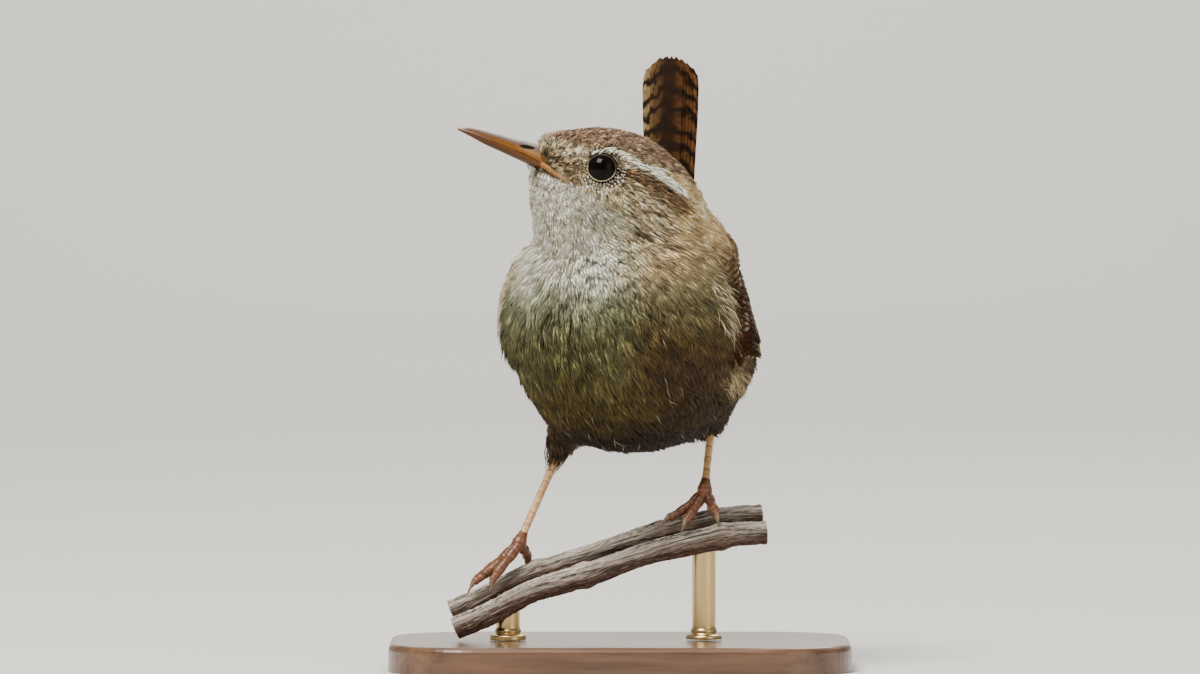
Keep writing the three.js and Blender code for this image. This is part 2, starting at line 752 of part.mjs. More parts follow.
// Each row of wing feathers, from its lowest feather up: [back, turn] of the first and last root and tip.
// Its lower edges stand out by the tilt and its upper edges are tucked in under the next.
const WING_ROWS = [
  {
    row: "primaries",
    count: 6,
    roots: [[-3, -13], [-1, -2]],
    tips: [[27, -10], [22, 8]],
    bulge: 3.2,
    width: 3,
    lifts: [0.5, 0.8],
    tilt: 0.22,
    steps: 4,
    columns: 1,
  },
  {
    row: "secondaries",
    count: 5,
    roots: [[-2, -2], [-2, 20]],
    tips: [[19.5, -4], [18, 18]],
    bulge: 0,
    width: 4,
    lifts: [0.6, 1.15],
    tilt: 0.22,
    steps: 4,
    columns: 1,
  },
  {
    row: "tertials",
    count: 3,
    roots: [[-2, 22], [-3, 31]],
    tips: [[18.5, 19], [13, 31]],
    bulge: 0,
    width: 4.6,
    lifts: [0.7, 1.5],
    tilt: 0.22,
    steps: 4,
    columns: 2,
  },
  {
    row: "primary coverts",
    count: 2,
    roots: [[-8, -8], [-7, -1]],
    tips: [[6, -12.5], [4.5, -5]],
    bulge: 0,
    width: 2.8,
    lifts: [0.45, 1.2],
    tilt: 0.2,
    steps: 3,
    columns: 1,
  },
  {
    row: "greater coverts",
    count: 6,
    roots: [[-7, -2], [-6, 26]],
    tips: [[4.5, -3], [5.5, 27]],
    bulge: 0,
    width: 3.4,
    lifts: [0.5, 1.5],
    tilt: 0.22,
    steps: 3,
    columns: 1,
  },
  {
    row: "median coverts",
    count: 5,
    roots: [[-9, 0], [-8, 24]],
    tips: [[-0.5, -2], [0, 27]],
    bulge: 0,
    width: 3.7,
    lifts: [0.35, 1.75],
    tilt: 0.2,
    steps: 3,
    columns: 1,
  },
  {
    row: "scapulars",
    count: 3,
    roots: [[-7, 28], [-6, 40]],
    tips: [[7.5, 33], [9, 41]],
    bulge: 0,
    width: 4,
    lifts: [0.3, 1.3],
    tilt: 0.15,
    steps: 3,
    columns: 2,
  },
];

function wingVane(side, row, k) {
  const u = row.count > 1 ? k / (row.count - 1) : 0;
  const between = (from, to) => [from[0] + (to[0] - from[0]) * u, from[1] + (to[1] - from[1]) * u];
  const root = between(...row.roots);
  const tip = between(...row.tips);
  tip[0] += row.bulge * 4 * u * (1 - u);
  const place = (t, s) => {
    const width = row.width * eased(VANE_PROFILE, t);
    const rounding = t === 1 ? 0.5 * (1 - s * s) : 0;
    const back = root[0] + (tip[0] - root[0]) * t + rounding;
    const turn = root[1] + (tip[1] - root[1]) * t;
    const lift = row.lifts[0] + (row.lifts[1] - row.lifts[0]) * Math.min(1, t * 1.6) - row.tilt * s;
    const middle = onWing(side, back, turn, lift);
    const reach = middle.distanceTo(onBody(0, back, WING_AXIS_UP));
    const spread = THREE.MathUtils.radToDeg((s * width) / 2 / reach);
    const point = onWing(side, back, turn + spread, lift);
    return { point, out: wayOut(wingSheet, point) };
  };
  return vane(place, row.steps, row.columns);
}

// The arm under the coverts, which every root is sunk in
const ARM = [
  { back: -10.5, turn: 8, halfTurn: 5, thick: 0.25 },
  { back: -9, turn: 9, halfTurn: 14, thick: 0.45 },
  { back: -5, turn: 11, halfTurn: 22, thick: 0.6 },
  { back: 0, turn: 12, halfTurn: 25, thick: 0.6 },
  { back: 5, turn: 12, halfTurn: 24, thick: 0.5 },
  { back: 10, turn: 10, halfTurn: 20, thick: 0.4 },
];

function arm(side) {
  const SIDES = 12;
  const rings = ARM.map(({ back, turn, halfTurn, thick }) =>
    Array.from({ length: SIDES }, (_, k) => {
      const around = (k / SIDES) * 2 * Math.PI;
      const lift = 0.2 + thick + thick * Math.sin(around);
      return onWing(side, back, turn + halfTurn * Math.cos(around), lift);
    }),
  );
  return toSolid(loft(rings));
}

function wing(side) {
  const vanes = WING_ROWS.flatMap((row) =>
    Array.from({ length: row.count }, (_, k) => wingVane(side, row, k)),
  );
  return largest(joined([arm(side), ...vanes]).subtract(fleshAndGap));
}

// The tail stands up from the rump: across it, up along it, and out from its upper face

const TAIL_ROOT = onBody(-0.6, 21.5, 51);
const tailFrame = new THREE.Matrix4()
  .makeRotationFromEuler(new THREE.Euler(-TAIL_LEAN, 0, BODY_TURN, "ZXY"))
  .setPosition(TAIL_ROOT);

function onTail(across, up, out) {
  return new THREE.Vector3(across, -out, up).applyMatrix4(tailFrame);
}

const TAIL_PAIRS = 6;
const TAIL_STEPS = [0, 0.35, 0.72, 0.955, 1];
const TAIL_SHORT_BY = [0.1, 0, 0.1, 0.4, 0.8, 1.3];
const TAIL_ROOF = 0.035;
const TAIL_PROFILE = [
  [0, 0.55],
  [0.3, 0.85],
  [0.8, 1],
  [0.95, 0.96],
  [1, 0.6],
];

function tailVane(side, pair) {
  const layer = 0.6 - 0.25 * pair - (side > 0 ? 0.1 : 0);
  const across = [0.3 + 0.34 * pair, 0.35 + 0.42 * pair];
  const place = (step, s) => {
    const t = TAIL_STEPS[Math.round(step * (TAIL_STEPS.length - 1))];
    const width = TAIL_FEATHER_WIDTH * eased(TAIL_PROFILE, t);
    const rounding = t === 1 ? 0.6 * (1 - s * s) : 0;
    const x = side * (across[0] + (across[1] - across[0]) * t) + (s * width) / 2;
    const up = (TAIL_FEATHER_LENGTH - TAIL_SHORT_BY[pair] - 0.6) * t + rounding;
    const out = layer - TAIL_ROOF * x * x + 0.12 * s * side;
    const point = onTail(x, up, out);
    return { point, out: onTail(x, up, out + 1).sub(point).normalize() };
  };
  return vane(place, TAIL_STEPS.length - 1);
}

const TAIL_COVERTS = [
  { side: "upper", face: 1, count: 5, spread: 1.25, reach: 12.5, layer: 0.95, width: 3.2 },
  { side: "under", face: -1, count: 5, spread: 1.3, reach: 15.5, layer: -1.35, width: 3.6 },
];

function tailCovert({ face, count, spread, reach, layer, width }, k) {
  const from = k - (count - 1) / 2;
  const place = (t, s) => {
    const wide = width * eased(VANE_PROFILE, t);
    const rounding = t === 1 ? 0.45 * (1 - s * s) : 0;
    const x = from * spread * (0.75 + 0.25 * t) + (s * wide) / 2;
    const up = (reach - 0.8 * Math.abs(from)) * t + rounding;
    const out = layer + face * 0.1 * (k % 2) - face * TAIL_ROOF * 1.4 * x * x - 0.3 * face * t * t;
    const point = onTail(x, up, out);
    return { point, out: onTail(x, up, out + 1).sub(point).normalize() };
  };
  return vane(place, 3, 1);
}

const TAIL_STUB = [
  { up: 0, half: 2.4, thick: 1.5 },
  { up: 4, half: 3.2, thick: 1.6 },
  { up: 8, half: 3.1, thick: 1.2 },
  { up: 11, half: 2.6, thick: 0.7 },
];

function tailStub() {
  const SIDES = 12;
  const rings = TAIL_STUB.map(({ up, half, thick }) =>
    Array.from({ length: SIDES }, (_, k) => {
      const around = (k / SIDES) * 2 * Math.PI;
      return onTail(half * Math.cos(around), up, thick * Math.sin(around) - 0.2);
    }),
  );
  return toSolid(loft(rings));
}

function tail() {
  const pieces = [tailStub()];
  for (let pair = TAIL_PAIRS - 1; pair >= 0; pair--) {
    pieces.push(tailVane(1, pair), tailVane(-1, pair));
  }
  for (const row of TAIL_COVERTS) {
    for (let k = 0; k < row.count; k++) pieces.push(tailCovert(row, k));
  }
  return largest(joined(pieces).subtract(fleshAndGap));
}

addNode("wing_left", toGeometry(wing(1)), material(COLOURS.rufous));
addNode("wing_right", toGeometry(wing(-1)), material(COLOURS.rufous));
addNode("tail", toGeometry(tail()), material(COLOURS.rufous));

export default wren;
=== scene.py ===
# %% [markdown]
# # A wren with its tail cocked, on a short length of twined stem
# The bird was measured and packed as solids. This lesson dresses them: a soft coat of small feathers
# over one skin, barred wing and tail feathers, a horn bill, wet eyes, scaly feet and dry bark.
# Everything is in the solids' own frame, so a piece made from the same named sizes lands in its place.

import math

import bmesh
import bpy
import numpy as np
from mathutils import Matrix, Vector
from mathutils.kdtree import KDTree


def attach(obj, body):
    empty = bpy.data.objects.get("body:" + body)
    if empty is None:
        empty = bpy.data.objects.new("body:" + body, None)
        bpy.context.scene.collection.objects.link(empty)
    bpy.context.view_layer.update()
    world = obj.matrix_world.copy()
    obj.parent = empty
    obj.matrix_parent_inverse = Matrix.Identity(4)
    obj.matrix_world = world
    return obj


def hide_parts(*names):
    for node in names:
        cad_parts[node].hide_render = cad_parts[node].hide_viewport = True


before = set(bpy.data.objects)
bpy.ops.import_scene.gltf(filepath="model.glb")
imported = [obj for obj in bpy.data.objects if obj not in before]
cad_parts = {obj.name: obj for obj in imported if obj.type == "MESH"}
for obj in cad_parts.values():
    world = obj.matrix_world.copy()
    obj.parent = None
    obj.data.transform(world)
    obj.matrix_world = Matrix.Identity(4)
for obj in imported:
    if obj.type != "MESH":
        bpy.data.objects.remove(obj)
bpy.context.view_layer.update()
MM = 0.001
SEED = 7

# %% [markdown]
# ## Where the body and the head point
# A perched bird turns its head far round on its neck. The body looks a little to the left of the
# picture and the head looks fully left, so each has its own axes: x to the bird's left, y to its
# back, z up. All shapes are written in these axes, in millimetres.

# %% The axes of body, head and tail
BODY_TURN = math.radians(-15)
HEAD_TURN = math.radians(-84)
HEAD_TILT = math.radians(16)
TAIL_LEAN = math.radians(7)


def turned(pitch, turn):
    return np.array(Matrix.Rotation(turn, 3, "Z") @ Matrix.Rotation(pitch, 3, "X"))


BODY = (turned(0, BODY_TURN), np.array([1.2, 0, 0]))
HEAD = (turned(-HEAD_TILT, HEAD_TURN), np.array([-1.5, -5.5, 69.8]))


def placed(axes, local):
    """Points given along some axes, as points of the model."""
    turn, origin = axes
    return np.asarray(local, float) @ turn.T + origin


def seen_from(axes, points):
    """Points of the model, as they are along some axes."""
    turn, origin = axes
    return (np.asarray(points, float) - origin) @ turn


TAIL = (turned(-TAIL_LEAN, BODY_TURN), placed(BODY, [-0.6, 21.5, 51]))
print("tail root", TAIL[1].round(1))

# %% [markdown]
# ## The shape under the feathers
# A songbird at rest is a ball of feathers, with no hard edges. It could be sculpted, but a soft blend
# of egg-shaped lobes gives a smooth shape with few numbers. It also tells, for any point, how far it
# is from the surface and which way is out, and each feather is laid with that.

# %% Lobes of body, head and thighs
BODY_LOBES = {
    "breast": ([0.2, -5, 49.5], [16.1, 12.5, 13], 0),
    "belly": ([0, 2, 45.2], [16.4, 16, 14.4], 0),
    "shoulders": ([-0.3, -3, 55.6], [14.7, 10, 8], 0),
    "mantle": ([1.4, 2, 59.6], [11.9, 10.5, 7], -20),
    "back": ([0, 8, 53], [13, 14, 8.5], -10),
    "left flank": ([3, 9, 43.6], [13, 9.5, 7.5], 10),
    "right flank": ([-1, 10, 46], [13.2, 11, 8.5], 10),
    "rump": ([0, 16, 51.5], [9.5, 10.5, 7.5], -10),
    "neck": ([1.5, -3, 64], [8.6, 7.4, 7], 0),
}
HEAD_LOBES = {
    "skull": ([0, 0.8, 0.4], [6.6, 9.4, 6.8], 0),
    "cheeks": ([0, -1.5, -2.8], [6.1, 7, 4.4], 0),
    "forehead": ([0, -7.6, 1.5], [2.9, 3.6, 2.7], 0),
    "chin": ([0, -7.5, -2.9], [3, 2.3, 2.9], 0),
    "upper throat": ([0, -4.9, -6], [4.8, 3.4, 4], 0),
    "throat": ([0, -3.5, -8.4], [6, 3.7, 5], 0),
    "nape": ([0, 8.4, -2], [6, 5.4, 5.4], 0),
    "left brow": ([4.4, -1, 3.7], [1.8, 4.6, 1.3], 0),
    "right brow": ([-4.4, -1, 3.7], [1.8, 4.6, 1.3], 0),
    "left ear coverts": ([4.7, 3, -2.6], [1.9, 3.6, 2.8], 0),
    "right ear coverts": ([-4.7, 3, -2.6], [1.9, 3.6, 2.8], 0),
}
THIGHS = {
    "right": ([-7.6, 5.2, 35.5], [-8.9, 7.8, 30]),
    "left": ([12.2, 5.9, 37.5], [12.7, 5.4, 33.2]),
}
THIGH_HALVES = {"right": [2.2, 2.2, 4], "left": [2.6, 2.6, 3.4]}
WING_LOBE = ([0, 7, 49], [13.1, 26.5, 10], 0)


def lobe(axes, middle, half, pitch):
    """The middle, axes and half sizes of a lobe, pitched in degrees about the line from side to side."""
    turn, _ = axes
    tilt = np.array(Matrix.Rotation(math.radians(pitch), 3, "X"))
    return placed(axes, middle), turn @ tilt, np.array(half, float)


def lobe_along(top, low, half):
    """A lobe whose long axis runs from one point to another."""
    way = Vector(low) - Vector(top)
    turn = np.array(way.to_track_quat("Z", "Y").to_matrix())
    return (np.array(top) + np.array(low)) / 2, turn, np.array(half, float)


body_lobes = [lobe(BODY, *values) for values in BODY_LOBES.values()]
head_lobes = [lobe(HEAD, *values) for values in HEAD_LOBES.values()]
thigh_lobes = [lobe_along(*THIGHS[name], THIGH_HALVES[name]) for name in THIGHS]
plumage_lobes = body_lobes + head_lobes + thigh_lobes
wing_lobes = body_lobes + [lobe(BODY, *WING_LOBE)]
print("lobes", len(plumage_lobes))

# %% Distance from the blended lobes, rays and settling
BLEND = 1.3
HEART = placed(BODY, [0, -3, 58])
CAST_STEPS, CAST_PACE = 26, 0.85


def unit(vectors):
    return vectors / np.maximum(np.linalg.norm(vectors, axis=-1, keepdims=True), 1e-9)


def field(lobes, points):
    """How far points lie outside the blended lobes, and the way straight out."""
    points = np.asarray(points, float)
    total = np.zeros(len(points))
    way = np.zeros((len(points), 3))
    for middle, turn, half in lobes:
        local = (points - middle) @ turn / half
        reach = np.linalg.norm(local, axis=1)
        slope = local / half
        steep = np.maximum(np.linalg.norm(slope, axis=1), 1e-9)
        weight = np.exp(-reach * (reach - 1) / steep / BLEND)
        total += weight
        way += (weight / steep)[:, None] * (slope @ turn.T)
    return -BLEND * np.log(total), unit(way)


def cast(lobes, origins, directions, lift=0.0, far=48.0):
    """Where rays from inside leave the surface that lies lift outside the lobes."""
    reach = np.full(len(directions), far)
    for _ in range(CAST_STEPS):
        distance, _ = field(lobes, origins + directions * reach[:, None])
        reach -= CAST_PACE * (distance - lift)
    return origins + directions * reach[:, None]


def settled(lobes, points, lift, rounds=1):
    """Points moved straight out or in until they lie lift outside the lobes."""
    for _ in range(rounds):
        distance, way = field(lobes, points)
        points = points + way * (lift - distance)[:, None]
    return points


_, out_ahead = field(body_lobes, placed(BODY, [[0, -20, 50]]))
print("way out in front of the breast", out_ahead[0].round(2))

# %% [markdown]
# ## The skin
# One closed skin stands under the whole coat, so no seam shows between head, neck and body. It is a
# sphere of even triangles with every corner pulled along its own ray to the surface, less the depth of
# the coat, which is thin on the face and deep on the body. Its unwrap is two round maps, one for the
# front and one for the back half of those rays.

# %% Coat depth and the skin's unwrap
BILL_ROOT = placed(HEAD, [0, -7.5, 0.2])
FACE_DEPTH, BODY_DEPTH = 0.45, 1.15
DISC_RADIUS = 0.235


def smooth_step(value, low, high):
    t = np.clip((value - low) / (high - low), 0, 1)
    return t * t * (3 - 2 * t)


def coat_depth(points):
    away = np.linalg.norm(points - BILL_ROOT, axis=1)
    return FACE_DEPTH + (BODY_DEPTH - FACE_DEPTH) * smooth_step(away, 5, 20)


def unwrapped(points, front=None):
    """Places on the skin's unwrap: the rays from the heart, flattened in a front and a back disc."""
    ray = unit(seen_from(BODY, points) - seen_from(BODY, HEART[None])[0])
    if front is None:
        front = ray[:, 1] < 0
    ahead = np.where(front, -ray[:, 1], ray[:, 1])
    reach = DISC_RADIUS * np.sqrt(1 / (1 + np.clip(ahead, -0.9, 1)))
    return np.stack([np.where(front, 0.25, 0.75) + ray[:, 0] * reach, 0.5 + ray[:, 2] * reach], axis=1)


print("coat depth on the breast", coat_depth(placed(BODY, [[0, -17, 50]])).round(2), "mm")

# %% Pieces from a bmesh, and what is painted and mapped on their corners
def new_piece(name, mesh):
    piece = bpy.data.objects.new(name, mesh)
    bpy.context.scene.collection.objects.link(piece)
    return piece


def mesh_from(name, bm, smooth=True):
    """A finished bmesh in millimetres as a mesh in metres."""
    bmesh.ops.scale(bm, vec=(MM, MM, MM), verts=bm.verts)
    mesh = bpy.data.meshes.new(name)
    bm.to_mesh(mesh)
    bm.free()
    if smooth:
        mesh.shade_smooth()
    return mesh


def piece_from(name, bm, smooth=True):
    """A finished closed bmesh as a piece of the model, with its faces pointing out."""
    bmesh.ops.recalc_face_normals(bm, faces=bm.faces)
    return new_piece(name, mesh_from(name, bm, smooth))


def corners_of(mesh):
    places = np.zeros(len(mesh.vertices) * 3)
    mesh.vertices.foreach_get("co", places)
    return places.reshape(-1, 3) / MM


def paint(mesh, name, colours):
    layer = mesh.attributes.new(name, "FLOAT_COLOR", "POINT")
    rgba = np.ones((len(colours), 4))
    rgba[:, : colours.shape[1]] = colours
    layer.data.foreach_set("color", rgba.ravel())


def vertex_of_corner(mesh):
    index = np.zeros(len(mesh.loops), int)
    mesh.loops.foreach_get("vertex_index", index)
    return index


def map_corners(mesh, name, places):
    """A UV map from one place for each corner of each face."""
    mesh.uv_layers.new(name=name).data.foreach_set("uv", places.ravel())


# %% The skin
TOWARDS_HEAD = np.array([-0.1, -0.08, 0.27])
skin_bm = bmesh.new()
bmesh.ops.create_icosphere(skin_bm, subdivisions=6, radius=1)
rays = unit(unit(np.array([v.co[:] for v in skin_bm.verts])) + TOWARDS_HEAD)
surface_points = cast(plumage_lobes, HEART, rays)
skin_points = settled(plumage_lobes, surface_points, -coat_depth(surface_points), 2)
for vertex, point in zip(skin_bm.verts, skin_points):
    vertex.co = point
skin = piece_from("skin", skin_bm)
triangles = np.array([p.vertices[:] for p in skin.data.polygons])
print("skin", len(triangles), "triangles")

# %% [markdown]
# ## Markings
# A wren is warm brown above, with a cream brow stripe, a streaked cheek and a whitish throat, and it
# fades from buff on the breast to olive brown under the belly. The markings are written as soft-edged
# zones in the axes of head and body, and skin and feathers read the same zones.

# %% Colours of the plumage
CROWN = (0.42, 0.275, 0.175)
CREAM = (0.92, 0.87, 0.70)
EYE_STRIPE = (0.15, 0.085, 0.04)
LORES = (0.23, 0.165, 0.085)
CHEEK = (0.62, 0.475, 0.275)
THROAT = (0.74, 0.69, 0.53)
BREAST = (0.90, 0.84, 0.66)
BREAST_SIDE = (0.46, 0.34, 0.185)
# The belly's olive browns are darkened partly by painted shade under the body, and the last colour is painted
# shade alone, darkest between the legs.
BELLY = (0.120, 0.108, 0.043)
MID_TINT = (-0.16, -0.06, 0.03)
WARM_SIDE = (0.165, 0.112, 0.042)
LOW_BELLY = (0.108, 0.077, 0.018)
UNDERSIDE_SHADE = (0.024, 0.013, 0.001)
NAPE = (0.72, 0.505, 0.26)
SHOULDER = (0.40, 0.26, 0.125)
BACK = (0.17, 0.085, 0.038)
FLANK = (0.16, 0.10, 0.042)
LOW_FLANK = (0.062, 0.034, 0.010)
FLANK_TUFT = (0.62, 0.47, 0.25)
BUFF = (0.74, 0.62, 0.42)
VENT = (0.18, 0.11, 0.05)
THIGH = (0.085, 0.055, 0.025)


def mixed(colours, target, weight):
    return colours + (np.asarray(target) - colours) * weight[:, None]


def faded(colours, target, weight):
    """Like mixed, but with even steps for the eye between a pale and a dark colour."""
    return colours * (np.asarray(target) / colours) ** weight[:, None]


def darker(colour, share):
    return np.array(colour) * share


print("belly", BELLY, "crown", CROWN)

# %% Soft-edged zones and blotches
def near_segment(points, start, end, low=0.0, high=1.0):
    """How far along a segment points lie, and how far away from it."""
    axis = np.subtract(end, start)
    at = np.clip((points - start) @ axis / np.sum(axis**2), low, high)
    return at, np.linalg.norm(points - start - at[:, None] * axis, axis=1)


def near_path(y, z, path):
    """How close places lie to a path of [y, z, half width], from 1 on it to 0 off it."""
    places = np.stack([y, z], -1)
    best = np.zeros(len(y))
    for (*start, wide), (*end, end_wide) in zip(path, path[1:]):
        along, away = near_segment(places, start, end)
        half = wide + (end_wide - wide) * along
        best = np.maximum(best, 1 - smooth_step(away, half * 0.6, half * 1.35))
    return best


def near_spot(places, middle, sizes):
    """A round soft spot: 1 at its middle, and about a third at the given sizes from it."""
    return np.exp(-sum(((place - at) / size) ** 2 for place, at, size in zip(places, middle, sizes)))


def soft_noise(points, size, seed):
    """A smooth random value between about -1 and 1, in blotches of the given size."""
    rng = np.random.default_rng(seed)
    total = np.zeros(len(points))
    for _ in range(14):
        way = unit(rng.normal(size=3)) * rng.uniform(0.7, 1.5) * 2 * math.pi / (2.4 * size)
        total += np.sin(points @ way + rng.uniform(0, 6.3))
    return total / 4


print("noise", soft_noise(surface_points[:3], 3.5, 1).round(2))

# %% [markdown]
# ## Zones of the body
# The breast is pale, its sides are buff and the belly is olive brown, with painted shade under the body that
# is darkest between the legs. Back and rump are brown with faint bars, and a pale tuft of long feathers shows
# on the flank below the wing, with painted shadow of the wing's tip just above it. The zones are laid over
# each other like coats of paint, each with a soft edge that a blotchy noise disturbs.

# %% Colours over the body
TUFT = ((16.2, 0.5, 41), (2.0, 3.6, 1.7))
# Just above the tuft, under the wing's tip, a spot of painted shadow.
SHADOW_ABOVE_TUFT = ((16.6, 0.5, 44), (2.2, 3.4, 2.2))
BACK_BARS = 1.9


def body_colours(points, blotch, fine):
    x, y, z = places = seen_from(BODY, points).T
    wide = np.abs(x)
    aside = np.maximum(x, -x - 10.5) + 0.6 * blotch
    low = smooth_step(-(z + 0.8 * blotch - 0.12 * np.maximum(x + 2, 0)), -57.8, -45)
    lowest = smooth_step(-(z + 1.2 * blotch), -45, -36)
    colours = faded(np.tile(BREAST, (len(points), 1)), BREAST_SIDE, smooth_step(aside, 1, 8))
    # The belly's olive brown comes in lower down, partly darkened by painted shade.
    colours = faded(colours, BELLY, low)
    colours = colours * (1 + np.outer(4 * low * (1 - low), MID_TINT))
    colours = mixed(colours, WARM_SIDE, 0.55 * low * smooth_step(x, 2.5, 8))
    # Lower still, more painted shade on the belly's brown.
    colours = faded(colours, LOW_BELLY, lowest)
    colours = mixed(colours, FLANK, smooth_step(wide, 12, 16) * smooth_step(y, -8, 2) * (1 - lowest))
    colours = faded(colours, LOW_FLANK, 0.85 * smooth_step(aside, 3.5, 9) * smooth_step(-z, -51, -45))
    # Painted shade under the body, darkest between the legs.
    colours = faded(colours, UNDERSIDE_SHADE, 0.9 * smooth_step(-z - 0.6 * blotch, -37, -31.5))

    tuft, above = near_spot(places, *TUFT), near_spot(places, *SHADOW_ABOVE_TUFT)
    colours = mixed(colours, FLANK_TUFT, np.clip((1.1 + 0.7 * fine) * tuft - 0.1, 0, 0.85))
    # Painted shadow of the wing's tip: a darker copy of the tuft's colour just above it.
    above = np.clip((0.9 + 0.9 * fine) * above, 0, 0.8) * (1 - tuft)
    colours = mixed(colours, darker(FLANK_TUFT, 0.5), above)
    colours = mixed(colours, VENT, smooth_step(y, 12, 20) * smooth_step(-z, -50, -44))

    upper = smooth_step(z + 0.55 * y + 0.5 * blotch, 58, 64)
    colours = mixed(colours, NAPE, upper * smooth_step(y, -4, 3))
    colours = mixed(colours, SHOULDER, 0.9 * smooth_step(wide, 5, 9.5) * smooth_step(-z, -66, -61) * upper)
    colours = mixed(colours, SHOULDER, 0.8 * upper * smooth_step(y, 0.5, 5))
    colours = mixed(colours, BACK, smooth_step(z + 0.8 * y + 1.5 * blotch, 59, 69) * smooth_step(y, 1, 8))

    bars = np.sin((y * 0.75 - z * 0.65 + 0.35 * fine + 0.5 * blotch) * 2 * math.pi / BACK_BARS)
    barred = 0.38 * smooth_step(y, 3, 9) + 0.3 * smooth_step(wide, 7, 12) * smooth_step(-z, -46, -40)
    return colours * (1 - np.clip(barred, 0, 0.45) * smooth_step(bars, 0.0, 0.8))[:, None]


def thigh_colours(points, colours):
    for name, (top, low_end) in THIGHS.items():
        at, away = near_segment(points, top, low_end, -0.2, 1.2)
        on_thigh = (1 - smooth_step(away, 2.5, 4)) * smooth_step(at, -0.1, 0.3)
        colours = mixed(colours, THIGH, on_thigh * (1 if name == "right" else 0.4))
    return colours


print("tuft at", placed(BODY, TUFT[0]).round(1))

# %% [markdown]
# ## Zones of the head
# From the side, a wren's face is drawn in lines: a cream brow that splits round the eye's upper edge, a
# dark stripe behind the eye, a streaked cheek and a flecked patch before the eye. Each line is a path
# with a width, seen from the side, so that both sides of the head get it at once.

# %% Colours over the head
BROWS = [
    [[-4.2, 2.75, 0.2], [-1.6, 3.95, 0.34], [0.6, 3.6, 0.42], [2.7, 3.2, 0.45], [5.0, 3.1, 0.5],
     [6.4, 3.3, 0.36]],
    [[4.2, 2.75, 0.35], [6.2, 2.35, 0.5], [7.6, 1.9, 0.5], [9.8, 1.1, 0.35]],
]
BROW_STRENGTH = ([-8, -3.6, -0.5, 3, 8, 9.6], [0.1, 0.8, 1, 1, 1, 0.75])
BROW_DASH = [[-7, 3.55, 0.35], [-5, 3.5, 0.45]]
STRIPE = [[-0.2, 1.6, 0.6], [3, 1.8, 1.0], [7, 0.6, 1.1], [10.5, -0.8, 1.0]]
CROWN_EDGE = ([-10.3, -5.5, -0.7, 3, 6.8, 9.6, 12], [3.35, 3.7, 4.35, 4.15, 4.0, 3.2, 2.6])
EAR_SPOT = ((6.2, -2.7), (0.9, 0.7))


def cheek_and_nape(points, places, blotch, back):
    """The cheek's streaks, the throat and the nape. back is how far back along the body points lie."""
    x, y, z = places
    streaks = soft_noise(np.stack([x * 0.5, (y - 0.6 * z) * 0.16, z + 0.6 * y], -1), 0.36, 8)
    streaked = smooth_step(streaks, -0.3, 0.5)
    colours = np.tile(CHEEK, (len(points), 1)) * 1.3
    colours = mixed(colours, darker(CHEEK, 0.26), streaked * smooth_step(y, -5, 0) * 0.85)
    throat = smooth_step(-z - 0.25 * y + 0.3 * blotch, 2.3, 4.4) * (1 - smooth_step(y + 0.4 * blotch, 0, 6))
    colours = mixed(colours, THROAT, throat)
    nape = smooth_step(y + 0.5 * z + 0.4 * blotch, 7, 10.5)
    colours = mixed(colours, NAPE, nape)
    return mixed(colours, SHOULDER, 0.8 * nape * smooth_step(back, 0.5, 5))


def head_colours(points, blotch, fine, back):
    x, y, z = places = seen_from(HEAD, points).T
    side = np.abs(x)
    colours = cheek_and_nape(points, places, blotch, back)
    lore = smooth_step(-y, 3.4, 5) * smooth_step(z, -2.4, -1.2)
    forehead = lore * smooth_step(z + 0.25 * (y + 9), 1.3, 2.2)
    flecks = smooth_step(soft_noise(points, 0.7, 9), 0.2, 0.9)
    colours = mixed(colours, LORES, lore)
    colours = mixed(colours, BUFF, np.clip(0.65 * forehead + 0.22 * lore * flecks, 0, 0.8))
    colours = mixed(colours, EYE_STRIPE, 0.9 * near_path(y, z, STRIPE))

    crown = smooth_step(z - np.interp(y, *CROWN_EDGE) + 0.15 * fine, -0.3, 0.3)
    dashes = soft_noise(np.stack([x, y * 0.3, z * 0.6], -1), 0.5, 12)
    colours = mixed(colours, CROWN, crown)
    colours = mixed(colours, darker(CROWN, 0.38), crown * 0.75 * smooth_step(dashes, 0.1, 0.8))

    brow = np.max([near_path(y, z + 0.12 * fine, path) for path in BROWS], axis=0) * smooth_step(side, 1.5, 3)
    colours = mixed(colours, CREAM, brow * np.interp(y, *BROW_STRENGTH))
    dash = near_path(y, z + 0.2 * fine, BROW_DASH) * smooth_step(side, 1, 2.4)
    colours = mixed(colours, EYE_STRIPE, 0.75 * dash)
    speck = soft_noise(np.stack([x, y * 0.35, z], -1), 0.42, 21)
    colours = mixed(colours, darker(LORES, 0.35), 0.7 * lore * smooth_step(speck, 0.1, 0.8))
    dark_lore = np.exp(-(((y + 5.2) / 1.5) ** 2 + ((z - 0.9 + 0.3 * (y + 5)) / 0.55) ** 2))
    colours = mixed(colours, EYE_STRIPE, 0.85 * dark_lore)
    return mixed(colours, darker(EYE_STRIPE, 0.5), 0.9 * near_spot((y, z), *EAR_SPOT))


print("brow paths", len(BROWS))

# %% All markings, and the bill's place in the face
def markings(points):
    """The plumage colour at points of the model."""
    blotch, fine = soft_noise(points, 3.5, 1), soft_noise(points, 1.3, 2)
    _, back, up = seen_from(BODY, points).T
    on_head = smooth_step(up + 0.2 * seen_from(HEAD, points)[:, 0], 60, 64)
    colours = thigh_colours(points, body_colours(points, blotch, fine))
    colours = mixed(colours, head_colours(points, blotch, fine, back), on_head)
    return np.clip(colours * (1 + 0.10 * fine + 0.10 * blotch)[:, None], 0.01, 0.9)


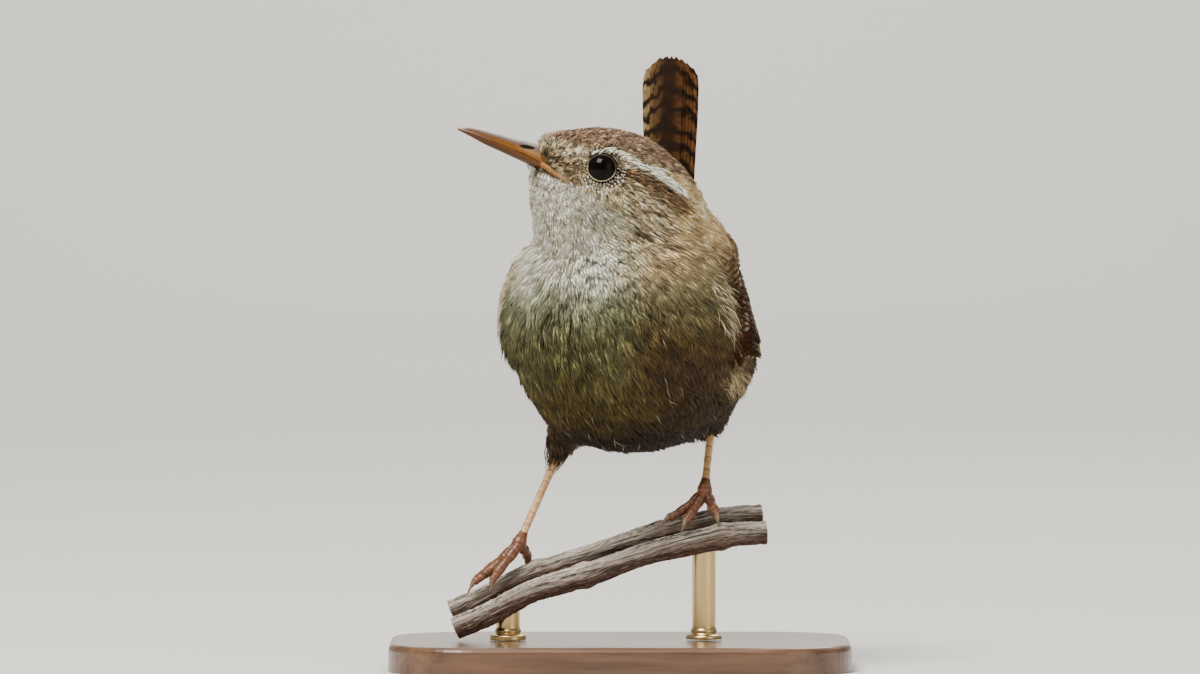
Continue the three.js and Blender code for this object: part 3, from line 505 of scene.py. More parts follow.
def in_bill(points, margin=0.0):
    """Inside the bill's own outline, as seen from the side, where its horn comes out of the face."""
    x, y, z = seen_from(HEAD, points).T
    top = np.interp(-y, [7.1, 8.5, 10.3, 12.1], [-1.4, -0.85, 0.3, 2.6]) + margin
    low = np.interp(-y, [7.1, 8.3, 10.4, 12.5], [-1.8, -1.5, -1.15, -0.9]) - margin
    return (-y > 7.1 - margin) & (z < top) & (z > low) & (np.abs(x) < 4.6)


# %% The skin is painted and mapped
MOUTH_LINING = (0.10, 0.05, 0.015)
# The skin takes the plumage's colours darkened as painted shade, for the depth of the coat where it shows
# between feathers.
SKIN_PAINTED_SHADE = 0.55
skin_colours = markings(surface_points) * SKIN_PAINTED_SHADE
skin_colours[in_bill(surface_points, 0.15)] = MOUTH_LINING
paint(skin.data, "Markings", skin_colours)
face_back = seen_from(BODY, surface_points[triangles].mean(axis=1))[:, 1]
in_front = np.repeat(face_back < seen_from(BODY, HEART[None])[0, 1], 3)
map_corners(skin.data, "OFBake", unwrapped(surface_points[vertex_of_corner(skin.data)], in_front))
print("skin's mean colour", skin_colours.mean(axis=0).round(3))

# %% [markdown]
# ## Which way the feathers lie
# Feathers point away from the bill, run over the head and down the body, and close in under the tail.
# They part round the eyes, and on the thighs they run down the leg. One field of directions gives all
# of that.

# %% Where the eyes sit
EYE_PLACE = (-2.3, 1.3)
EYE_RADIUS = 2.35
EYE_SUNK = 1.35
OPENING = 1.95


def eye_seat(side):
    """The middle of the eye opening on the surface, the way out there, and the eye's own middle."""
    middle = placed(HEAD, [0, *EYE_PLACE])[None]
    ray = placed(HEAD, [side, *EYE_PLACE])[None] - middle
    surface = cast(plumage_lobes, middle, ray, far=12.0)
    _, way = field(plumage_lobes, surface)
    return surface[0], way[0], surface[0] - way[0] * EYE_SUNK


EYES = {"left": eye_seat(1), "right": eye_seat(-1)}
print("left eye at", EYES["left"][2].round(1))

# %% The lie of the coat
VENT_POINT = placed(BODY, [0, 21, 47])
TO_VENT, DOWN_THIGH, ROUND_EYE = 0.55, 2.2, 1.6


def lie(points, way_out):
    """The way the feathers lie, along the surface."""
    from_bill, to_vent = points - BILL_ROOT, VENT_POINT - points
    flow = from_bill / np.sum(from_bill**2, axis=1, keepdims=True)
    flow = unit(flow + TO_VENT * to_vent / np.sum(to_vent**2, axis=1, keepdims=True))
    for top, low_end in THIGHS.values():
        _, away = near_segment(points, top, low_end)
        flow = flow + DOWN_THIGH * unit(np.subtract(low_end, top)) * (1 - smooth_step(away, 2.2, 5))[:, None]
    for surface, _, _ in EYES.values():
        away = points - surface
        near = 1 - smooth_step(np.linalg.norm(away, axis=1), 2.2, 4.2)
        flow = flow + ROUND_EYE * unit(away) * near[:, None]
    return unit(flow - way_out * np.sum(flow * way_out, axis=1, keepdims=True))


print("lie on the breast", lie(placed(BODY, [[0, -17, 50]]), np.array([[0, -1.0, 0]])).round(2))

# %% [markdown]
# ## One feather, and a coat of them
# A body feather is a short shaft with rows of fine loose barbs on both sides. Each barb is a closed
# sliver, pointed at both ends and widest before its middle, of only six faces, so that a coat can hold
# a great many. The shaft is one more sliver, and the barbs fan out from it to an oval outline.
# A coat is thousands of such feathers, so its corners are worked out all at once in arrays.

# %% Slivers
SLIVER_FACES = np.array([[0, 2, 1], [0, 3, 2], [0, 1, 3], [4, 1, 2], [4, 2, 3], [4, 3, 1]])
BAKE_PATCH = 0.003
DARKEST, PALEST = 0.004, 0.95


def slivers(name, corners, colours, places):
    """Closed slivers as one mesh, from the five corners, colours and map places of each."""
    n = len(corners)
    faces = (SLIVER_FACES[None] + 5 * np.arange(n)[:, None, None]).reshape(-1, 3)
    mesh = bpy.data.meshes.new(name)
    mesh.vertices.add(n * 5)
    mesh.vertices.foreach_set("co", (corners * MM).ravel())
    mesh.loops.add(faces.size)
    mesh.loops.foreach_set("vertex_index", faces.ravel())
    mesh.polygons.add(len(faces))
    mesh.polygons.foreach_set("loop_start", np.arange(0, faces.size, 3))
    mesh.update(calc_edges=True)
    mesh.shade_smooth()
    paint(mesh, "Markings", np.clip(colours, DARKEST, PALEST).reshape(-1, 3))
    map_corners(mesh, "OFBake", places.reshape(-1, 2)[vertex_of_corner(mesh)])
    print(name, n, "barbs")
    return new_piece(name, mesh)


def barbs_through(name, stations, out, thick, colours):
    """Single barbs, given by the places of their roots, middles and tips."""
    first, mid, last = stations
    half = (thick / 2)[:, None]
    beside = unit(np.cross(out, last - first)) * half
    corners = [first, mid + beside, mid + out * half * 0.8, mid - beside, last]
    # Each barb's root is darkened by painted shade and its tip lightened a little by painted light.
    shades = np.stack([colours * 0.45, colours, colours, colours, colours * 1.1], axis=1)
    ends = np.array([[0, -0.5], [0.5, 0], [0, 0], [-0.5, 0], [0, 0.5]])
    return slivers(name, np.stack(corners, axis=1), shades, unwrapped(first)[:, None] + BAKE_PATCH * ends)


def loose_barbs(name, root, flow, length, thick, lifts, colours, lobes=None, bend=0.0):
    """Single barbs, each from its root along flow. lifts holds the height of root, middle and tip."""
    lobes = lobes or plumage_lobes
    _, out = field(lobes, root)
    flow = unit(flow - out * np.sum(flow * out, axis=1, keepdims=True))
    across = np.cross(out, flow)
    stations = []
    for t, lift in zip((0.0, 0.42, 1.0), lifts):
        place = root + flow * (length * t)[:, None] + across * (bend * length * t * t)[:, None]
        stations.append(settled(lobes, place, np.broadcast_to(lift, len(root))))
    return barbs_through(name, stations, out, thick, colours)


# %% The plan of a feather
def oval(along):
    """Half the width of a feather at a place along it, as a share of its widest."""
    return np.sqrt(np.clip(1 - (np.abs(along - 0.58) / 0.46) ** 2.3, 0, 1))


def shaded_at_root(hue, t):
    """The colour along a barb: darkened by painted shade at the feather's root, full beyond the middle."""
    return hue * (0.3 + 0.7 * smooth_step(t, 0.05, 0.75))[..., None]


# Deeper painted shade at a feather's root, used on the head.
def deeply_shaded_at_root(hue, t):
    return hue * (0.1 + 0.9 * smooth_step(t, 0.15, 0.85))[..., None]


def barb_plan(rng, length, width, barbs, loose):
    """Where each barb of each feather begins, bends and ends, along and across the flat feather."""
    n, count = len(length), barbs + 1
    k = np.arange(count)
    is_barb = k > 0
    side = np.where(k % 2 == 0, 1.0, -1.0) * is_barb
    start = np.where(is_barb, 0.03 + 0.6 * (k - 1) / max(barbs - 1, 1), 0.0)
    start = np.clip(start + rng.normal(0, 0.04, (n, count)) * is_barb, 0, 0.9)
    end = np.where(is_barb, np.clip(start + rng.uniform(0.38, 0.72, (n, count)), 0.1, 1.0), 0.97)
    share = np.where(is_barb, oval(end) * rng.uniform(0.25, 1.05, (n, count)), 0)
    reach = side * share * (width / 2)[:, None]
    end = end + 0.06 * loose * rng.normal(0, 1, (n, count))
    begin = np.stack([start * length[:, None], side * 0.04 * width[:, None] * np.ones((n, count))], -1)
    finish = np.stack([end * length[:, None], reach], -1)
    middle = begin + 0.42 * (finish - begin)
    middle[..., 1] += 0.10 * side * width[:, None] * (0.6 + 0.8 * rng.random((n, count)))
    return begin, middle, finish


plan = barb_plan(np.random.default_rng(SEED), np.array([4.0]), np.array([1.7]), 4, 1.0)
print("barbs of one feather end at", plan[2][0].round(1).tolist())

# %% A coat of feathers
def laid_out(plan, root, flow, across, length, width, heights, lobes):
    """The planned barbs on the surface. heights(t) gives how high they lie from root, 0, to tip, 1."""
    stations = []
    for place in plan:
        t = np.clip(place[..., 0] / length[:, None], 0, 1.2)
        sag = 0.12 * (place[..., 1] / np.maximum(width[:, None] / 2, 1e-6)) ** 2 * width[:, None] / 2
        flat = root[:, None] + flow[:, None] * place[..., :1] + across[:, None] * place[..., 1:]
        lift = heights(t) - sag
        stations.append(settled(lobes, flat.reshape(-1, 3), lift.ravel()).reshape(flat.shape))
    return stations


def sliver_corners(rng, stations, out, thick):
    """Five corners for each barb, rolled a little about its length. The first barb is the shaft."""
    first, mid, last = stations
    n, count, _ = mid.shape
    out_here = out[:, None] * np.ones((1, count, 1))
    beside = unit(np.cross(out_here, unit(last - first)))
    is_shaft = np.arange(count) == 0
    half = thick[:, None] / 2 * rng.uniform(0.75, 1.25, (n, count)) * np.where(is_shaft, 1.25, 1.0)
    half = half[..., None]
    roll = rng.normal(0, 0.5, (n, count, 1))
    up = out_here * np.cos(roll) + beside * np.sin(roll)
    beside = beside * np.cos(roll) - out_here * np.sin(roll)
    return np.stack([first, mid + beside * half, mid + up * half * 0.9, mid - beside * half, last], axis=2)


def feather_coat(
    name, root, length, width, barbs, thick, depth, tip_lift, above=0.0, loose=1.0, lobes=None,
    scruff=0.12, streak=0.25, shaft=1.2, colours_at=markings, pattern=shaded_at_root, way=lie,
):
    """A piece made of one feather at each root. length, width, depth and tip_lift hold one value each."""
    lobes = lobes or plumage_lobes
    rng = np.random.default_rng(SEED + len(root))
    n, count = len(root), barbs + 1
    _, out = field(lobes, root)
    flow = way(root, out)
    turn = rng.normal(0, 0.16 * loose, n)[:, None]
    flow = flow * np.cos(turn) + np.cross(out, flow) * np.sin(turn)
    length = length * rng.uniform(0.8, 1.2, n)
    tip_lift = tip_lift + scruff * np.abs(rng.normal(0, 1, n))
    plan = barb_plan(rng, length, width, barbs, loose)
    jitter = 0.06 * rng.normal(0, 1, (n, count))

    def heights(t):
        sunk = depth[:, None] * np.maximum(1 - t, 0) ** 1.2
        return above - sunk + tip_lift[:, None] * t**1.5 + jitter * t

    stations = laid_out(plan, root, flow, np.cross(out, flow), length, width, heights, lobes)
    corners = sliver_corners(rng, stations, out, thick)
    hue = colours_at(stations[1].reshape(-1, 3)).reshape(n, count, 3)
    light = np.exp(rng.normal(0, 0.8 * streak, (n, count, 1)) + rng.normal(0, 0.75 * streak, (n, 1, 1)))
    light[:, 0] *= shaft
    shares = [np.clip(place[..., 0] / length[:, None], 0, 1.2) for place in plan]
    # Barbs are darkened by painted shade at their roots, deep in the coat, and lightened a little by painted
    # light at their tips.
    root_shade, shade, tip_shade = (pattern(hue, t) * light for t in shares)
    colours = np.stack([root_shade, shade, shade, shade, tip_shade * 1.08], axis=2)

    begin, middle, finish = plan
    local = np.stack([begin, middle, middle, middle, finish], axis=2)
    spread = np.stack([local[..., 1] / width[:, None, None], local[..., 0] / length[:, None, None] - 0.5], -1)
    patch = unwrapped(root)[:, None, None, :] + BAKE_PATCH * np.clip(spread, -0.5, 0.5)
    return slivers(name, corners.reshape(-1, 5, 3), colours, patch)


print("faces of a barb", len(SLIVER_FACES))

# %% [markdown]
# ## Where each feather is rooted
# Feathers stand evenly, closest together on the face. Random places are drawn on the skin's
# triangles, more where the feathers are small. Then each place is pushed away from its six nearest
# neighbours a few times, as crowded feathers share out the skin.

# %% How long feathers are, and where they are drawn
LENGTH_FROM_BILL = ([0, 3, 8, 14, 22, 34], [0.8, 1.1, 1.8, 2.8, 4.0, 4.8])
CROWDING = 1.7


def thigh_end(points):
    """1 where a thigh's feathers close in on the leg, 0 elsewhere."""
    away = [np.linalg.norm(points - np.array(low), axis=1) for _, low in THIGHS.values()]
    return 1 - smooth_step(np.min(away, axis=0), 2.5, 6)


def feather_length(points):
    away = np.linalg.norm(points - BILL_ROOT, axis=1)
    return np.interp(away, *LENGTH_FROM_BILL) * (1 - 0.5 * thigh_end(points))


def scattered(seed, draws):
    rng = np.random.default_rng(seed)
    a, b, c = surface_points[triangles].swapaxes(0, 1)
    area = np.linalg.norm(np.cross(b - a, c - a), axis=1)
    weight = area / feather_length((a + b + c) / 3) ** CROWDING
    picked = rng.choice(len(triangles), draws, p=weight / weight.sum())
    to_b, to_c = rng.random(draws), rng.random(draws)
    flip = to_b + to_c > 1
    to_b, to_c = np.where(flip, 1 - to_b, to_b)[:, None], np.where(flip, 1 - to_c, to_c)[:, None]
    return a[picked] + to_b * (b - a)[picked] + to_c * (c - a)[picked]


print("feathers on the breast", feather_length(placed(BODY, [[0, -17, 50]])).round(1), "mm long")

# %% Roots
FEATHERS = 8600
NEIGHBOURS = 6
PUSH = 0.12


def evened(points, rounds=4):
    """Points pushed apart from their nearest neighbours, and kept on the surface."""
    for _ in range(rounds):
        tree = KDTree(len(points))
        for i, point in enumerate(points):
            tree.insert(point, i)
        tree.balance()
        near = np.array([[found[1] for found in tree.find_n(point, NEIGHBOURS + 1)] for point in points])
        away = points[:, None] - points[near[:, 1:]]
        distance = np.linalg.norm(away, axis=2, keepdims=True)
        push = np.sum(away / np.maximum(distance, 1e-3) ** 2, axis=1) * np.mean(distance, axis=1) ** 2
        points = settled(plumage_lobes, points + PUSH * push, 0)
    return points


roots = evened(scattered(SEED, FEATHERS))
print("roots", len(roots))

# %% [markdown]
# ## The coat, region by region
# The coat is cut into named regions, so that each stays a piece of a handy size. No feather grows
# inside the bill, the eye or the part of the flank that the folded wing hides.

# %% Regions, and where no feather grows
WING_AXIS_UP = 49.5
EYE_ROOM = 0.2


def near_eye(points, room):
    return np.any([np.linalg.norm(points - seat[0], axis=1) < room for seat in EYES.values()], axis=0)


def region_of(points):
    _, y, z = seen_from(HEAD, points).T
    across, back, up = seen_from(BODY, points).T
    names = np.full(len(points), "breast", object)
    names[up < 46] = "belly"
    names[(across > 9) & (up < 58)] = "left_side"
    names[(across < -9) & (up < 58)] = "right_side"
    names[back > 3] = "back"
    names[(back > 3) & (up < 46)] = "vent"
    on_head = up > 62
    names[on_head] = "cheeks"
    names[on_head & (z > 2.6)] = "crown"
    names[on_head & (z < -2.6) & (y < 3)] = "throat"
    names[on_head & (y > 6)] = "nape"
    return names


def under_wing(points):
    """On the part of the flank that lies right under the folded wing."""
    across, back, up = seen_from(BODY, points).T
    turn = np.degrees(np.arctan2(up - WING_AXIS_UP, np.abs(across)))
    close = field(wing_lobes, points)[0] > -0.25
    return close & (back > -4) & (back < 20) & (turn > 1) & (turn < 23)


roots = roots[~in_bill(roots) & ~near_eye(roots, OPENING + EYE_ROOM) & ~under_wing(roots)]
regions = region_of(roots)
print({str(region): int(np.sum(regions == region)) for region in sorted(set(regions))})

# %% The coat
LOOKS = {
    "belly": (24, 0.30, 1.25, shaded_at_root, 1),
    "cheeks": (14, 0.62, 2.0, deeply_shaded_at_root, 1.15),
    "crown": (18, 0.48, 0.7, deeply_shaded_at_root, 1),
    "throat": (18, 0.42, 1.5, deeply_shaded_at_root, 1.3),
    "nape": (22, 0.45, 1.4, deeply_shaded_at_root, 1.1),
}
PLAIN_LOOK = (24, 0.36, 1.3, shaded_at_root, 1)
coats = []
for region in sorted(set(regions)):
    here = roots[regions == region]
    barbs, streak, shaft, pattern, longer = LOOKS.get(region, PLAIN_LOOK)
    long = feather_length(here) * longer
    base_thick = 0.11 if region == "cheeks" else 0.08
    coat = feather_coat(
        "coat_" + region, here, long, 0.34 + 0.36 * long, barbs, base_thick + 0.03 * long, coat_depth(here),
        0.02 - 1.1 * thigh_end(here), streak=streak, shaft=shaft, pattern=pattern,
    )
    coats.append(coat)

# %% [markdown]
# ## Long forms: a grid rolled into a tube
# Bill, legs, toes, claws and stems are all round and long. One way is a curve with a bevel. A flat grid
# rolled up and welded along its seam gives more control, since every corner knows how far round and how
# far along it is, so ridges, scales and knots can be pushed into it.

# %% Rolled grids and smooth paths
def smooth_through(values, at):
    """A smooth curve through evenly spaced values, read at places from 0 to 1."""
    values = np.asarray(values, float)
    last = len(values) - 1
    place = np.clip(at, 0, 1) * last
    i = np.clip(place.astype(int), 0, last - 1)
    t = (place - i).reshape(-1, *[1] * (values.ndim - 1))
    before, after = values[np.maximum(i - 1, 0)], values[np.minimum(i + 2, last)]
    here, there = values[i], values[i + 1]
    bend0, bend1 = (there - before) / 2, (after - here) / 2
    return (
        here * (2 * t**3 - 3 * t**2 + 1)
        + bend0 * (t**3 - 2 * t**2 + t)
        + there * (3 * t**2 - 2 * t**3)
        + bend1 * (t**3 - t**2)
    )


def rolled(bm, sides, steps, shape):
    """A grid rolled into a tube and welded: shape(turn, at) gives its points, both from 0 to 1."""
    made = bmesh.ops.create_grid(bm, x_segments=sides, y_segments=steps, size=1, calc_uvs=True)["verts"]
    flat = np.array([v.co[:2] for v in made]) / 2 + 0.5
    for vertex, point in zip(made, shape(flat[:, 0], flat[:, 1])):
        vertex.co = point
    bmesh.ops.remove_doubles(bm, verts=made, dist=1e-4)


def along_path(path, at, upward):
    """Places on a smooth path, with the ways across it and up from it."""
    step = 1e-3
    point = smooth_through(path, at)
    before, after = np.maximum(at - step, 0), np.minimum(at + step, 1)
    along = unit(smooth_through(path, after) - smooth_through(path, before))
    across = unit(np.cross(along, upward))
    return point, across, np.cross(across, along)


def tube_shape(path, radius, upward, tall=1.0):
    """A shape for rolled(): radius(turn, at) gives the radius, and tall stretches it upward."""

    def shape(turn, at):
        point, across, up = along_path(path, at, upward)
        angle = turn * 2 * math.pi
        size = radius(turn, at)[:, None]
        return point + size * (across * np.cos(angle)[:, None] + tall * up * np.sin(angle)[:, None])

    return shape


def closed_ends(at, start, end):
    """A factor that rounds a tube off to a point at both ends."""
    first = np.sqrt(np.clip(1 - np.clip(1 - at / start, 0, 1) ** 2, 0, 1))
    last = np.sqrt(np.clip(1 - np.clip(1 - (1 - at) / end, 0, 1) ** 2, 0, 1))
    return first * last


def mapped_bmesh():
    bm = bmesh.new()
    bm.loops.layers.uv.new("Place")
    return bm


print("halfway through 0, 1, 4:", smooth_through([0, 1, 4], np.array([0.5])))

# %% [markdown]
# ## The bill
# A wren's bill is slim, pointed and a little bent down. The upper half overlaps the lower along a sharp
# cutting edge, and a long nostril lies in a groove near its root. Its sections are given at even steps
# from the root to the tip and smoothed between.

# %% Sections of the bill
BILL_AHEAD = [6.2, 8.3, 10.4, 12.5, 14.6, 16.7, 18.8, 20.9, 22.95]
RIDGE = [1.9, 2.3, 2.36, 2.27, 2.13, 2.06, 1.98, 1.87, 1.32]
MOUTH = [-1.6, -0.85, -0.22, 0.22, 0.49, 0.75, 1.0, 1.22, 1.25]
HALF = [1.9, 1.88, 1.7, 1.42, 1.17, 0.92, 0.68, 0.39, 0.0]
LIP = [4.2, 3.05, 2.2, 1.62, 1.32, 1.04, 0.77, 0.43, 0.0]
KEEL = [-2.6, -1.83, -1.33, -0.9, -0.56, -0.23, 0.09, 0.58, 1.0]
BEAK_GAP = 0.05
LIP_PART = 0.2
NOSTRIL = (12.7, 1.32)


def from_nostril(ahead, z):
    """How far places on the upper bill lie from the nostril, counted in its own long oval."""
    return np.hypot((ahead - NOSTRIL[0]) / 1.15, (z - NOSTRIL[1] + 0.1 * (ahead - NOSTRIL[0])) / 0.27)


def upper_half(side, ahead, at):
    """Half widths and heights: side runs from the middle of the underside, 0, round to the ridge, 1."""
    mouth, rise = smooth_through(MOUTH, at), smooth_through(RIDGE, at) - smooth_through(MOUTH, at)
    half, lip = np.abs(smooth_through(HALF, at)), np.abs(smooth_through(LIP, at))
    on_lip = side <= LIP_PART
    blend = np.clip((side - LIP_PART) / (1 - LIP_PART), 0, 1)
    under = lip * np.interp(side, [0, 0.16, LIP_PART], [0, 0.97, 1])
    wide = lip + (half - lip) * smooth_step(blend, 0, 0.35)
    x = np.where(on_lip, under, wide * np.sqrt(1 - blend**2.6))
    z = mouth + rise * np.where(on_lip, 0.03 * np.sin(side / LIP_PART * math.pi), blend**1.15)
    groove = np.exp(-(((ahead - 11.9) / 2.3) ** 2) - ((z - NOSTRIL[1] - 0.15) / 0.42) ** 2)
    sunk = 0.42 * (1 - smooth_step(from_nostril(ahead, z), 0.6, 1.15)) + 0.14 * groove
    return x - sunk * (side > 0.3), z


def lower_half(side, ahead, at):
    """The same for the lower half: side runs from the middle of its upper face round to the keel."""
    mouth, lip = smooth_through(MOUTH, at) - BEAK_GAP, 0.955 * np.abs(smooth_through(LIP, at))
    drop = np.maximum(mouth - smooth_through(KEEL, at), 0.02)
    blend = np.clip((side - LIP_PART) / (1 - LIP_PART), 0, 1)
    x = lip * np.where(side > LIP_PART, np.sqrt(1 - blend**2.1), side / LIP_PART)
    return x, mouth - drop * np.where(side > LIP_PART, blend**1.25, 0)


def bill_shape(half):
    def shape(turn, at):
        side, ahead = np.where(turn < 0.5, turn * 2, 2 - turn * 2), smooth_through(BILL_AHEAD, at)
        x, z = half(side, ahead, at)
        return placed(HEAD, np.stack([np.where(turn < 0.5, x, -x), -ahead, z], axis=1))

    return shape


print("bill", round(BILL_AHEAD[-1] - BILL_AHEAD[0], 1), "mm long")

# %% Both halves, with horn grey on the ridge, orange brown at the edge and orange yellow below
def upper_colours(ahead, z, height):
    colours = np.tile([0.17, 0.06, 0.006], (len(z), 1))
    towards_root = smooth_step(height, 0.1, 0.3) * smooth_step(-ahead, -15, -12)
    colours = mixed(colours, [0.24, 0.13, 0.05], towards_root)
    colours = mixed(colours, [0.13, 0.08, 0.065], smooth_step(height, 0.38, 0.58))
    colours = mixed(colours, [0.33, 0.28, 0.275], smooth_step(height, 0.62, 0.9))
    # Near the tip, painted shade along the cutting edge, in the crease where the upper half overlaps the
    # lower.
    edge_shade = smooth_step(ahead, 16, 20) * smooth_step(-height, -0.6, -0.3) * 0.7
    colours = mixed(colours, [0.12, 0.055, 0.03], edge_shade)
    colours = mixed(colours, [0.42, 0.33, 0.24], smooth_step(ahead, 21.6, 22.8))
    # The nostril is painted near black, as painted shade in its hollow.
    return mixed(colours, [0.03, 0.02, 0.015], 1 - smooth_step(from_nostril(ahead, z), 0.75, 1.1))


def lower_colours(ahead, depth):
    colours = np.tile([0.12, 0.040, 0.0015], (len(ahead), 1))
    colours = mixed(colours, [0.10, 0.04, 0.006], smooth_step(-ahead, -9.5, -8))
    # Darker towards the keel: painted shade on the bill's underside.
    colours = mixed(colours, [0.05, 0.016, 0.001], smooth_step(depth, 0.35, 0.95))
    return mixed(colours, [0.09, 0.03, 0.006], smooth_step(ahead, 15, 20))


def bill_colours(mesh, part):
    _, y, z = seen_from(HEAD, corners_of(mesh)).T
    at = np.interp(-y, BILL_AHEAD, np.linspace(0, 1, len(BILL_AHEAD)))
    mouth = smooth_through(MOUTH, at)
    if part == "upper":
        height = (z - mouth) / np.maximum(smooth_through(RIDGE, at) - mouth, 0.05)
        return upper_colours(-y, z, np.clip(height, 0, 1))
    depth = (mouth - z) / np.maximum(mouth - smooth_through(KEEL, at), 0.05)
    return lower_colours(-y, np.clip(depth, 0, 1))


bill = {}
for part, half in (("upper", upper_half), ("lower", lower_half)):
    bm = mapped_bmesh()
    rolled(bm, 72, 110, bill_shape(half))
    bmesh.ops.holes_fill(bm, edges=[e for e in bm.edges if e.is_boundary])
    bill[part] = piece_from("bill_" + part + "_horn", bm)
    paint(bill[part].data, "Markings", bill_colours(bill[part].data, part))
    print(bill[part].name, len(bill[part].data.polygons), "faces")

# %% [markdown]
# ## The corner of the mouth
# Behind the horn, the mouth's soft yellowish corner runs back below the eye. It is a thin fold, so it is
# a rolled grid too, along a path that rays find on the face, and it tapers into the feathers.

# %% Gape
GAPE_PATH = [[0, -10.2, -0.5], [0, -8.8, -1.0], [0, -7.4, -1.55], [0, -5.9, -2.1]]
GAPE_RADII = ([0, 0.3, 0.7, 1], [0.34, 0.42, 0.27, 0.06])


def fold_radius(turn, at):
    return np.interp(at, *GAPE_RADII) * closed_ends(at, 0.04, 0.02)


bm = mapped_bmesh()
for side in (1, -1):
    ray = HEAD[0] @ np.array([side, 0, 0.0])
    path = cast(plumage_lobes, placed(HEAD, GAPE_PATH), np.tile(ray, (4, 1)), lift=0.12, far=9.0)
    path[0] = placed(HEAD, [side * 2.5, -10.4, -0.35])
    path[1] = 0.6 * path[1] + 0.4 * placed(HEAD, [side * 3.0, -8.8, -0.95])
    rolled(bm, 20, 60, tube_shape(path, fold_radius, ray, 0.75))
gape = piece_from("gape", bm)
back = seen_from(HEAD, corners_of(gape.data))[:, 1]
fold_colours = np.tile([0.24, 0.105, 0.02], (len(back), 1))
paint(gape.data, "Markings", mixed(fold_colours, [0.20, 0.12, 0.05], smooth_step(back, -8.5, -6.2)))
print("gape", len(gape.data.polygons), "faces")

# %% [markdown]
# ## The eyes
# The eye of a wren is dark brown and looks black, wet and round. The ball sits deep in the head, so
# only its front shows, ringed by a thin bare lid. Beyond the lid is a row of tiny pale feathers, like
# a dotted ring below the eye.

# %% Eyeballs and lids
PUPIL, IRIS = (0.001, 0.001, 0.0015), (0.004, 0.0025, 0.0015)
LID_DARK, LID_PALE = (0.035, 0.022, 0.014), (0.50, 0.43, 0.28)


def eye_axes(way):
    """The ways across and up the face of an eye that looks along way."""
    across = unit(np.cross(way, [0, 0, 1.0]))
    return across, np.cross(across, way)


def around(way, angle):
    across, up = eye_axes(way)
    return np.cos(angle)[:, None] * across + np.sin(angle)[:, None] * up


def eyeball(name, way, middle):
    bm = bmesh.new()
    ball = bmesh.ops.create_uvsphere(bm, u_segments=64, v_segments=40, radius=EYE_RADIUS)["verts"]
    turn = Vector(way).to_track_quat("Z", "Y").to_matrix()
    bmesh.ops.rotate(bm, verts=ball, cent=(0, 0, 0), matrix=turn)
    bmesh.ops.translate(bm, verts=ball, vec=Vector(middle))
    eye = piece_from("eyeball_" + name, bm)
    off = np.degrees(np.arccos(np.clip(unit(corners_of(eye.data) - middle) @ way, -1, 1)))
    iris = smooth_step(off, 21, 25) * (1 - smooth_step(off, 46, 50))
    paint(eye.data, "Markings", mixed(np.tile(PUPIL, (len(off), 1)), IRIS, iris))
    return eye


def eyelid(name, surface, way):
    def rim(turn, at):
        angle, roll = at * 2 * math.pi, turn * 2 * math.pi
        narrow = np.sin(angle) ** 2
        radius = (OPENING + 0.07) * (1 - 0.075 * narrow) + 0.13 * np.cos(roll)
        height = -0.04 + 0.08 * narrow + 0.2 * np.sin(roll) + 0.025 * np.sin(angle * 23)
        return surface + around(way, angle) * radius[:, None] + way * height[:, None]

    bm = mapped_bmesh()
    rolled(bm, 12, 120, rim)
    lid = piece_from("eyelid_" + name, bm)
    _, y, z = (seen_from(HEAD, corners_of(lid.data)) - seen_from(HEAD, surface[None])).T
    below = smooth_step(-z + 0.5 * np.abs(y), 0.6, 1.6)
    dots = 0.5 + 0.5 * np.sin(np.arctan2(z, y) * 31)
    paint(lid.data, "Markings", mixed(np.tile(LID_DARK, (len(y), 1)), LID_PALE, below * (0.2 + 0.6 * dots)))
    return lid


eyes, lids = [], []
for name, (surface, way, middle) in EYES.items():
    eyes.append(eyeball(name, way, middle))
    lids.append(eyelid(name, surface, way))
print("eyes", [len(e.data.polygons) for e in eyes], "lids", [len(e.data.polygons) for e in lids])

# %% Rings of tiny feathers round the lids
RING_ROWS = [(0.26, 30), (0.52, 32), (0.85, 46), (1.2, 56)]


def eye_ring(name, surface, way):
    """Rows of tiny feathers that stand round the lid, palest below and behind the eye."""
    rng = np.random.default_rng(SEED + 11)
    rows = []
    for row, (room, count) in enumerate(RING_ROWS):
        angle = (np.arange(count) + 0.5 * (row % 2) + rng.normal(0, 0.3, count)) / count * 2 * math.pi
        outward = around(way, angle)
        root = settled(plumage_lobes, surface + outward * (OPENING + room), 0)
        _, y, z = (seen_from(HEAD, surface + outward) - seen_from(HEAD, surface[None])).T
        pale = smooth_step(-z + 0.25 * y, -0.45, 0.45) * (1 - 0.14 * row)
        shade = mixed(markings(root) * 0.85, CREAM, pale) * np.exp(rng.normal(-0.1, 0.4, (count, 1)))
        flow = unit(0.55 * outward + 0.6 * unit(root - BILL_ROOT) + rng.normal(0, 0.22, root.shape))
        rows.append((root, flow, shade, np.full(count, 0.27 + 0.12 * row)))
    root, flow, shade, long = (np.concatenate(parts) for parts in zip(*rows))
    long = long * rng.uniform(0.6, 1.35, len(root))
    return loose_barbs("eye_ring_" + name, root, flow, long, 0.3 * long + 0.1, (0.0, 0.16, 0.1), shade)


eye_rings = [eye_ring(name, surface, way) for name, (surface, way, _) in EYES.items()]

# %% [markdown]
# ## Legs and feet
# The leg that shows is the tarsus: thin, bare and wrapped in front by a few long scales. Four toes, three
# ahead and one behind, end in long curved claws that hold the stem. Each toe is a line of five points,
# and its last point is the claw's tip. Scales are steps in the radius of the rolled grids.

